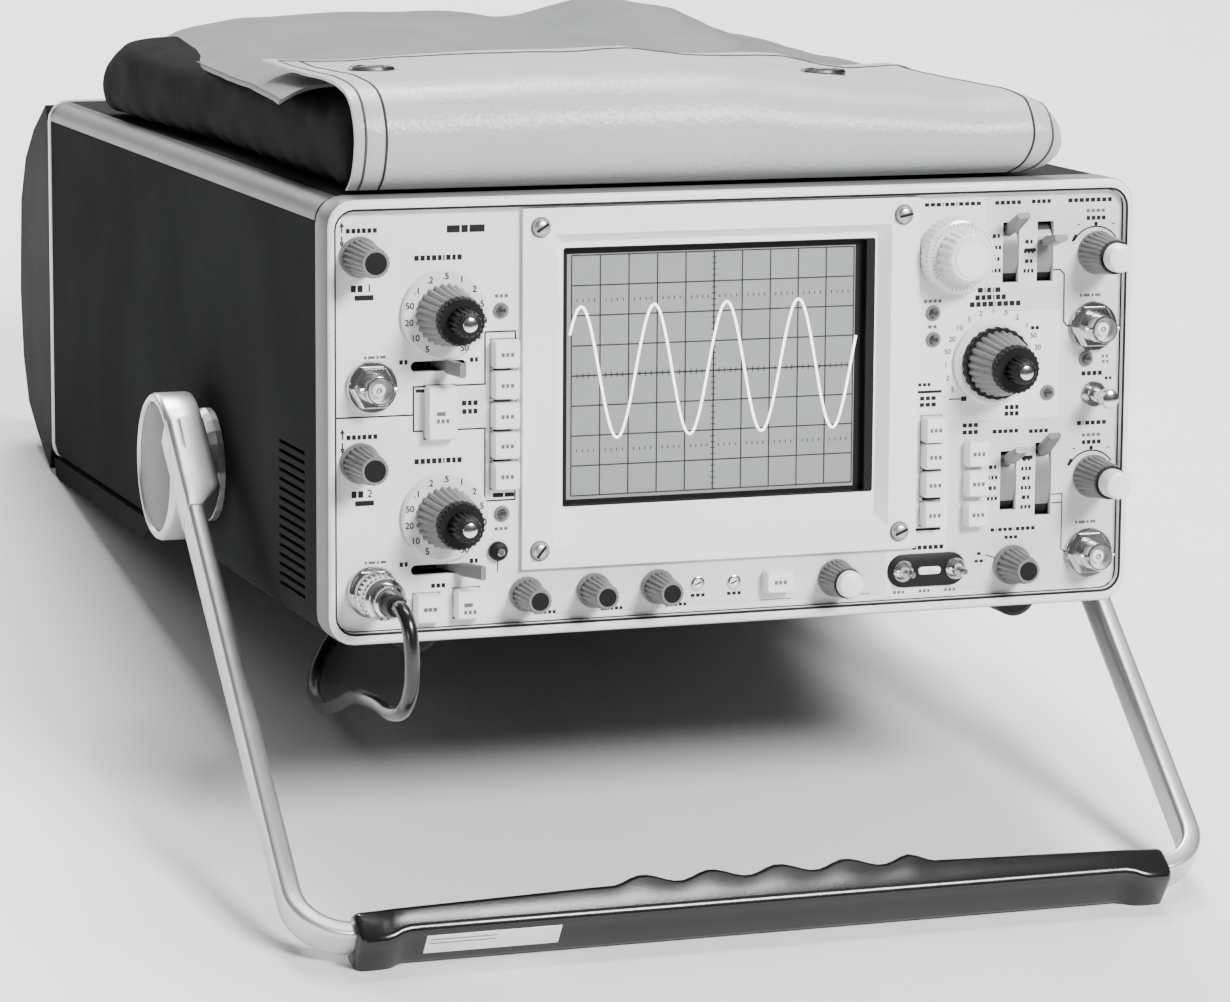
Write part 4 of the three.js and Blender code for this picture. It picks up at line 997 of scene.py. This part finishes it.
def hub_rings(side, profile, count=56):
    rings = []
    for radius, x in profile:
        steps = [i * 2 * math.pi / count for i in range(count)]
        rings.append([(side * x, HUB.y + radius * math.cos(t), HUB.z + radius * math.sin(t)) for t in steps])
    return rings


def grip_section(x, inner, outer, low, high, ease=3.0):
    """Rounded rectangle in the plane of reach and lift."""
    one = []
    for su, sv, quarter in ((1, 1, 0), (-1, 1, 1), (-1, -1, 2), (1, -1, 3)):
        for i in range(6):
            t = (quarter + i / 5) * math.pi / 2
            u = (inner + outer) / 2 + su * ((outer - inner) / 2 - ease) + ease * math.cos(t)
            v = (low + high) / 2 + sv * ((high - low) / 2 - ease) + ease * math.sin(t)
            one.append(handle_point(x, u, v))
    return one


def finger_wave(x):
    """How far the grip's inner edge stands towards the case at x."""
    if abs(x) > 60:
        return 0.0
    fade = min(1.0, (60 - abs(x)) / 8)
    return fade * (1.9 - 1.9 * math.cos((x + 57) / 24 * 2 * math.pi - 0.4))


def build_grip():
    inner, outer = ARM_LENGTH - 6.5, ARM_LENGTH + 7
    shape = Shape()
    ends = [(GRIP_HALF, 2.2, 0.6, -11.2, 5.4), (GRIP_HALF - 0.8, 1.8, 1.6, -12.2, 6.1)]
    ends += [(GRIP_HALF - 2, 1.8, 2.4, -12.5, 6.5), (GRIP_HALF - 9, 1.8, 2.4, -12.5, 6.8)]
    ends += [(GRIP_HALF - 11.5, 1.9, 1.9, -12, 7.2), (GRIP_HALF - 14, 2, 0.7, -10.8, 7.5)]
    ends.append((GRIP_HALF - 17, 2, 0, -10, 7.6))
    rings = [grip_section(-x, inner + a, outer + b, low, high) for x, a, b, low, high in ends]
    for x in range(-123, 124, 3):
        taper = 2 * max(0.0, (abs(x) - 62) / 62)
        rings.append(grip_section(x, inner - finger_wave(x) + taper, outer, -10, 7.7))
    rings += [grip_section(x, inner + a, outer + b, low, high) for x, a, b, low, high in reversed(ends)]
    shape.skin(rings, 0)
    piece = shape.make("handle_grip_body", "handle", [GRIP], sharp=50)
    trim_to_floor(piece)
    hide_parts("handle_grip")
    plate = Shape()
    face = outer + 0.12
    outline = ((-121, -4.4), (-75, -4.4), (-75, 4.2), (-121, 4.2))
    plate.skin([[handle_point(x, at, lift) for x, lift in outline] for at in (face, face - 0.8)], 0)
    left, right, half = -119.6, -97, 0.2
    for z in (2.2, 0.4):
        line = ((left, z - half), (right, z - half), (right, z + half), (left, z + half))
        plate.points.extend(handle_point(x, face + 0.06, lift) for x, lift in line)
        plate.add_face(tuple(range(len(plate.points) - 4, len(plate.points))), 1)
    made = plate.make("grip_label", "handle", [LABEL, INK_GREY])
    soften(made, 0.0002)


def trim_to_floor(piece):
    """Cuts the piece level with the floor and closes it."""
    mesh = bmesh.new()
    mesh.from_mesh(piece.data)
    cut = bmesh.ops.bisect_plane(mesh, geom=mesh.verts[:] + mesh.edges[:] + mesh.faces[:], dist=1e-6,
                                 plane_co=(0, 0, 0.00002), plane_no=(0, 0, 1), clear_inner=True)
    edges = [e for e in cut["geom_cut"] if isinstance(e, bmesh.types.BMEdge)]
    bmesh.ops.holes_fill(mesh, edges=edges, sides=0)
    mesh.to_mesh(piece.data)
    mesh.free()
    piece.data.set_sharp_from_angle(angle=math.radians(50))


build_bail()
build_grip()


# ---------------------------------------------------------------- pouch
POUCH_LEFT, POUCH_RIGHT, POUCH_FRONT, POUCH_REAR, POUCH_BASE = -134.0, 117.0, 6.0, 346.0, 73.5


def between(stations, x):
    """Straight-line value at x along (x, value) stations."""
    for (xa, a), (xb, b) in zip(stations, stations[1:]):
        if x <= xb:
            return a + (b - a) * max(0.0, x - xa) / (xb - xa)
    return stations[-1][1]


def pouch_top(x, y):
    """Height of the filled pouch's top: lower towards the right, swelling towards the rear."""
    height = between([(-140, 31.4), (-107, 32), (-60, 33.5), (0, 33.4), (20, 30.5), (45, 27.5), (60, 26.5),
                      (85, 23.6),
                      (101, 24.2), (120, 25)], x)
    rise = between([(-120, -0.6), (-105, 0), (-85, 3.8), (-60, 4.4), (-10, 4.9), (10, 3.6), (20, 4.2),
                    (28, 6.7),
                    (45, 14.7), (52, 16.4), (60, 16), (75, 10), (90, 7), (101, 5), (120, 3)], x)
    share = between([(36, 0), (90, 0.05), (130, 0.25), (180, 0.7), (240, 1), (306, 1), (330, 0.78),
                     (346, 0.2)], y)
    cheek = 14 - math.sqrt(196 - min(12.2, max(0.0, x - 103.5)) ** 2)
    return POUCH_BASE + height + rise * share - cheek


def crumple(x, y, scale, seed):
    return noise.noise(Vector((x / scale + seed, y / scale, seed * 0.37)))


def build_pouch_body():
    """Filled pouch: a crowned shell that is inflated by a short cloth run, then creased."""
    rings = []
    xs = [POUCH_LEFT + 2, POUCH_LEFT + 4, POUCH_LEFT + 10]
    xs += [POUCH_LEFT + 20 + i * 8 for i in range(27)]
    xs += [POUCH_RIGHT - 10, POUCH_RIGHT - 4, POUCH_RIGHT - 2]
    for x in xs:
        edge = min(x - POUCH_LEFT, POUCH_RIGHT - x)
        ease = max(0.0, 1 - edge / 14) ** 2
        squeeze, drop = 2 + 7 * ease, 2.5 + 7 * ease
        f, r, low = POUCH_FRONT + squeeze, POUCH_REAR - squeeze, POUCH_BASE + 0.8
        front, rear = pouch_top(x, f) - drop, pouch_top(x, r - 16) - drop
        outline = [(f + 13, low), (f + 5, low + 3), (f + 1, low + (front - low) * 0.34)]
        outline += [(f + 2.4, low + (front - low) * 0.7), (f + 10, front - 2.4), (f + 24, front - 0.6)]
        outline += [(f + 40 + 20 * k, pouch_top(x, f + 40 + 20 * k) - drop) for k in range(12)]
        outline += [(r - 24, rear), (r - 8, rear - 4), (r, low + (rear - low) * 0.5), (r - 2, low + 4),
                    (r - 8, low)]
        outline += [(r - 30 - 28 * k, low) for k in range(11)]
        rings.append([(x, y, z) for y, z in outline])
    shape = Shape()
    shape.skin(rings, 0)
    piece = shape.make("pouch_body_cloth", "instrument", [GUSSET], sharp=180)
    inflate(piece, CLOTH_GRID, CLOTH_PRESSURE, CLOTH_REACH)
    crease(piece)
    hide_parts("pouch_body")
    return piece


def inflate(piece, voxel, pressure, cap):
    """Short cloth run that rounds the piece out; no point moves further than cap."""
    bpy.context.view_layer.update()
    scene = bpy.context.scene
    remesh = piece.modifiers.new("grid", "REMESH")
    remesh.mode, remesh.voxel_size = "VOXEL", voxel
    graph = bpy.context.evaluated_depsgraph_get()
    mesh = bpy.data.meshes.new_from_object(piece.evaluated_get(graph))
    piece.modifiers.clear()
    piece.data = mesh
    start = [v.co.copy() for v in mesh.vertices]
    cloth = piece.modifiers.new("cloth", "CLOTH")
    cloth.settings.use_pressure = True
    cloth.settings.uniform_pressure_force = pressure
    cloth.settings.effector_weights.gravity = 0
    cloth.settings.quality = 5
    cloth.settings.tension_stiffness = 25
    cloth.settings.bending_stiffness = 4
    for step in range(1, 21):
        scene.frame_set(step)
    graph = bpy.context.evaluated_depsgraph_get()
    puffed = bpy.data.meshes.new_from_object(piece.evaluated_get(graph))
    piece.modifiers.clear()
    for vertex, before in zip(puffed.vertices, start):
        move = vertex.co - before
        if move.length > cap:
            vertex.co = before + move.normalized() * cap
    piece.data = puffed
    scene.frame_set(1)


def crease(piece):
    """Sags and soft creases of the pouch, worked out in the instrument frame."""
    back = TO_ROW.inverted()
    for vertex in piece.data.vertices:
        p = back @ vertex.co
        top = max(0.0, min(1.0, (p.z - POUCH_BASE) / 25 - 0.2))
        p.z += top * (0.8 * crumple(p.x, p.y, 46, 3.1) + 0.4 * crumple(p.x, p.y, 19, 7.7) - 0.6)
        if p.x < POUCH_LEFT + 20 or p.x > POUCH_RIGHT - 20:
            p.x += 1.6 * crumple(p.y, p.z * 3, 34, 5.3)
        if p.x < POUCH_LEFT + 24:
            p.x -= 5.5 * max(0.0, min(1.0, (p.y - 190) / 110))
        p.z = max(p.z, POUCH_BASE + 0.1)
        vertex.co = TO_ROW @ p
    piece.data.shade_smooth()
    smooth = piece.modifiers.new("smooth", "SUBSURF")
    smooth.levels = smooth.render_levels = 1


def build_pouch_top():
    """Top panel of the pouch; its left edge overhangs the gusset and ends in a point by the closure."""
    rows, columns = 58, 60
    outside, inside = [], []
    for r in range(rows + 1):
        y = 58 + (POUCH_REAR - 4 - 58) * r / rows
        left = between([(58, -142.4), (74, -140), (120, -136), (200, -129), (300, -119), (345, -114)], y)
        right = POUCH_RIGHT - 1 - 5 * max(0.0, (y - 320) / 30)
        over, under = [], []
        for c in range(columns + 1):
            share = c / columns
            x = left + (right - left) * (0.5 - 0.5 * math.cos(math.pi * share))
            drop = 5.2 * max(0.0, 1 - (x - left) / 16) ** 2.2 + 4.5 * max(0.0, 1 - (right - x) / 14) ** 2.2
            drop += 7.5 * max(0.0, 1 - (POUCH_REAR - 4 - y) / 16) ** 2
            z = pouch_top(x, y) - drop + 0.9 * crumple(x, y, 46, 3.1) + 0.4 * crumple(x, y, 19, 7.7)
            hem = 0.25 if c in (0, columns) else 0.6
            over.append((x, y, z + hem))
            under.append((x, y, z - hem))
        outside.append(over)
        inside.append(under)
    shape = Shape()
    shape.skin([a + b[::-1] for a, b in zip(outside, inside)], 0)
    for c in (2, columns - 2):
        stitched(shape, [Vector(line[c]) for line in outside], 1)
    piece = shape.make("pouch_top_panel", "instrument", [VINYL, THREAD], sharp=60)


def flap_outline(x, offset, samples):
    """Line of the closure panel in the depth-height plane at x, from its front hem to its top hem."""
    top = pouch_top(x, 20) + 3.2 + 0.5 * offset
    height = top - POUCH_BASE
    f = POUCH_FRONT - 2.6 - offset
    low = POUCH_BASE + 1.2
    end = 108 + 22 * (x - POUCH_LEFT) / 250 + 3 * math.sin(x / 37)
    lifted = [pouch_top(x, y) + 2.9 + 0.5 * offset for y in (60, end - 20, end)]
    key = [(f + 9, low), (f + 3.6, low + height * 0.12), (f + 0.2, low + height * 0.3),
           (f - 1.0, low + height * 0.5)]
    key += [(f + 0.8, low + height * 0.68), (f + 6.0, low + height * 0.86), (f + 15, top - 0.8),
            (f + 30, top + 0.2), (60, lifted[0])]
    key += [(end - 20, lifted[1]), (end, lifted[2])]
    points = catmull_rom([Vector((y, z, 0)) for y, z in key], samples)
    return [(p.x, p.y) for p in points]


def build_flap():
    left, right, columns = POUCH_LEFT + 1.5, POUCH_RIGHT - 1.5, 72
    outside, inside = [], []
    for i in range(columns + 1):
        x = left + (right - left) * i / columns
        hem = 0.5 if 0 < i < columns else 0.0
        out_line, in_line = flap_outline(x, 0.9 + hem, 7), flap_outline(x, -0.9 - hem, 7)
        lean = []
        for k, ((yo, zo), (yi, zi)) in enumerate(zip(out_line, in_line)):
            rise = k / (len(out_line) - 1)
            wave = 0.9 * crumple(x, yo, 38, 2.2) + 0.35 * crumple(x, yo, 15, 9.1)
            near = max(0.0, 1 - (x - left) / 50) ** 2
            spread = -3.5 * max(0.0, rise - 0.45) * near
            spread -= 9 * max(0.0, 1 - rise / 0.3) ** 2 * max(0.0, (x - 70) / 45) ** 2
            curl = 2.4 * max(0.0, rise - 0.5) * near
            lean.append(((x + spread, yo, zo + wave * rise + curl),
                         (x + spread, yi, zi + wave * rise + curl)))
        outside.append([a for a, b in lean])
        inside.append([b for a, b in lean])
    shape = Shape()
    rings = [a + b[::-1] for a, b in zip(outside, inside)]
    shape.skin(rings, 0)
    for inset in (3.4, 10.2, 11.6):
        seam(shape, outside, inset, 1)
    piece = shape.make("pouch_flap_cloth", "pouch_flap", [FLAP, THREAD], sharp=60)
    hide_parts("pouch_flap")
    build_snaps(outside)


def seam(shape, outside, inset, look):
    """Sewn line that follows the panel's two sides and its top hem, just proud of the sheet."""
    count = len(outside[0])
    columns = len(outside)
    step = (outside[-1][0][0] - outside[0][0][0]) / (columns - 1)
    k = max(1, round(inset / step))
    for column in (k, columns - 1 - k):
        line = [Vector(outside[column][r]) for r in range(0, count - 3)]
        stitched(shape, line, look)
    stitched(shape, [Vector(outside[c][count - 4]) for c in range(k, columns - k)], look)


def stitched(shape, line, look, width=0.55, lift=0.28):
    """A low closed box for each span of the line, so that the sheet stays one closed mesh."""
    for a, b in zip(line, line[1:]):
        along = (b - a).normalized()
        out = Vector((0, -0.55, 0.83)) if a.z > POUCH_BASE + 24 else Vector((0, -1, 0.1))
        side = along.cross(out).normalized() * width / 2
        proud = out.normalized() * lift
        first = len(shape.points)
        for edge, height in ((side, proud), (side * 1.6, Vector())):
            shape.points += [tuple(p + height) for p in (a + edge, a - edge, b - edge, b + edge)]
        for corners in ((0, 1, 2, 3), (0, 4, 5, 1), (1, 5, 6, 2), (2, 6, 7, 3), (3, 7, 4, 0), (7, 6, 5, 4)):
            shape.add_face(tuple(first + c for c in corners), look)


def build_snaps(outside):
    """Two snap fasteners, each on the flap's point nearest to its place."""
    shape = Shape()
    for x, y in ((-107, 64), (57.6, 76)):
        near = min((Vector(p) for line in outside for p in line),
                   key=lambda p: (p.x - x) ** 2 + (p.y - y) ** 2)
        rings = []
        for radius, lift in ((8, -0.6), (8, 0.5), (7.2, 1.3), (5.4, 1.4), (4.6, 0.7)):
            rings.append(snap_ring(near, radius, lift))
        shape.skin(rings, 1)
        stud = ((4.7, 0.5), (4.5, 0.8), (3.2, 1.3), (0.3, 1.5))
        shape.skin([snap_ring(near, radius, lift) for radius, lift in stud], 0)
    shape.make("flap_snaps", "pouch_flap", [CHROME, DARK_METAL])


def snap_ring(centre, radius, lift):
    steps = [i * math.pi / 18 for i in range(36)]
    return [(centre.x + radius * math.cos(t), centre.y + radius * math.sin(t), centre.z + lift)
            for t in steps]


build_pouch_body()
build_pouch_top()
build_flap()


# ---------------------------------------------------------------- rear and underside fittings
def build_rear_fittings():
    shape = Shape()
    for side in (-1, 1):
        for z in (60, -60):
            shape.turned([(3.4, 406.0), (3.4, 407.6), (2.6, 408.6), (0.5, 408.8)], side * 118, z, 0, 28)
    for x in (-20, -44, -68):
        shape.turned([(7.4, 406), (7.4, 407.2), (6.2, 407.6), (4.8, 407.6), (4.8, 414), (4.2, 414.4),
                      (4.1, 409)], x, -44, 0, 32)
        shape.turned([(3.8, 408), (3.6, 411), (1, 411)], x, -44, 1, 24)
    shape.turned([(8, 406), (8, 408), (6.6, 409), (6.4, 416), (5.6, 417), (0.6, 417)], -105, 26, 2, 36)
    for x, z in ((-109, -10), (-101, -10), (-105, -5)):
        shape.block((x - 0.9, 407, z - 1.8), (x + 0.9, 411.6, z + 1.8), 0)
    shape.turned([(29.6, 406), (29.6, 407.2), (28.8, 407.8), (27.2, 407.8), (27.0, 406)], 30, 14, 0, 48)
    shape.make("rear_fittings", "instrument", [CHROME, WHITE, BLACK])


def build_feet():
    shape = Shape()
    for side in (-1, 1):
        x = side * 108
        rings = []
        for radius, y in ((6.6, 15.2), (8.0, 16.2), (8.0, 29.6), (6.8, 30.6)):
            steps = [math.pi + i * math.pi / 16 for i in range(17)]
            rings.append([(x + radius * math.cos(t), y, -71.8 + radius * math.sin(t)) for t in steps])
        shape.skin(rings, 0)
    shape.make("front_feet", "instrument", [RUBBER])


def build_edge_highlight_strips():
    """Lighter, smoother and glossier strips along the cover's two top edges: a painted highlight on the
    rounded edges.
    """
    shape = Shape()
    for side in (-1, 1):
        rings = []
        for y in (15, 16, 110, 200, 300, 396, 398.5):
            angles = [math.radians(4 + 82 * k / 12) for k in range(13)]
            rings.append([(side * (EDGE_X + EDGE_R * math.cos(a)), y, EDGE_Z + EDGE_R * math.sin(a))
                          for a in angles])
        shape.skin(rings, 0, closed=False, caps=False)
    shape.make("cover_edge_highlights", "instrument", [COVER_EDGE_HIGHLIGHT])


def build_case_trim():
    """Bead where the cover meets the rear casting, and the dark seal behind the front frame."""
    shape = Shape()
    for y0, y1, grow in ((399.4, 403.6, 0.35), (14.0, 14.34, -0.4)):
        wide, tall = FRAME_WIDTH + 2 * grow, FRAME_HEIGHT - 1 + 2 * grow
        bead = ((1, y0), (0, y0 + 0.3), (0, y1 - 0.3), (1, y1))
        rings = [ring(wide - less, tall - less, 8, y) for less, y in bead]
        shape.skin(rings, 0 if grow > 0 else 1, caps=False)
    shape.make("case_trim", "instrument", [STEEL, BLACK])


build_rear_fittings()
build_feet()
build_case_trim()
# Painted highlight strips along the cover's rounded top edges.
build_edge_highlight_strips()


# ---------------------------------------------------------------- stage and light
def build_stage():
    floor = bpy.data.meshes.new("floor")
    reach = 14.0
    corners = [(-reach, -reach, 0), (reach, -reach, 0), (reach, reach, 0), (-reach, reach, 0)]
    floor.from_pydata(corners, [], [(0, 1, 2, 3)])
    stage = bpy.data.objects.new("floor", floor)
    floor.materials.append(surface("floor_paper", (0.78, 0.78, 0.77), 0.7, mottle=0.01, grain=300,
                                   relief=0.02))
    bpy.context.scene.collection.objects.link(stage)


def area_light(name, at, target, size, power, color=(1, 1, 1)):
    data = bpy.data.lights.new(name, "AREA")
    data.shape, data.size, data.size_y = "RECTANGLE", size[0], size[1]
    data.energy, data.color = power, color
    lamp = bpy.data.objects.new(name, data)
    lamp.location = at
    lamp.rotation_mode = "QUATERNION"
    lamp.rotation_quaternion = (Vector(target) - Vector(at)).to_track_quat("-Z", "Y")
    bpy.context.scene.collection.objects.link(lamp)


def build_light():
    world = bpy.data.worlds.new("studio")
    world.use_nodes = True
    tree = world.node_tree
    place = tree.nodes.new("ShaderNodeTexCoord")
    split = tree.nodes.new("ShaderNodeSeparateXYZ")
    ramp = tree.nodes.new("ShaderNodeValToRGB")
    ramp.color_ramp.elements[0].color = (0.10, 0.10, 0.105, 1)
    ramp.color_ramp.elements[1].color = (0.75, 0.76, 0.77, 1)
    tree.links.new(place.outputs["Generated"], split.inputs["Vector"])
    tree.links.new(split.outputs["Z"], ramp.inputs["Fac"])
    tree.links.new(ramp.outputs["Color"], tree.nodes["Background"].inputs["Color"])
    tree.nodes["Background"].inputs["Strength"].default_value = 0.4
    bpy.context.scene.world = world
    area_light("key", (0.9, -1.9, 1.9), (0, -0.15, 0.12), (0.8, 0.7), 140)
    area_light("strip", (0.28, 0.35, 1.9), (0.0, -0.1, 0.1), (0.9, 0.28), 30)
    area_light("back", (0.1, 1.6, 2.0), (0, -0.1, 0.1), (1.2, 0.8), 105)
    area_light("rim", (-0.9, 2.7, 0.9), (0, 0, 0.2), (1.6, 0.5), 26)
    area_light("side", (-1.5, -1.5, 0.35), (-0.14, -0.1, 0.1), (0.5, 0.3), 4)


build_stage()
build_light()
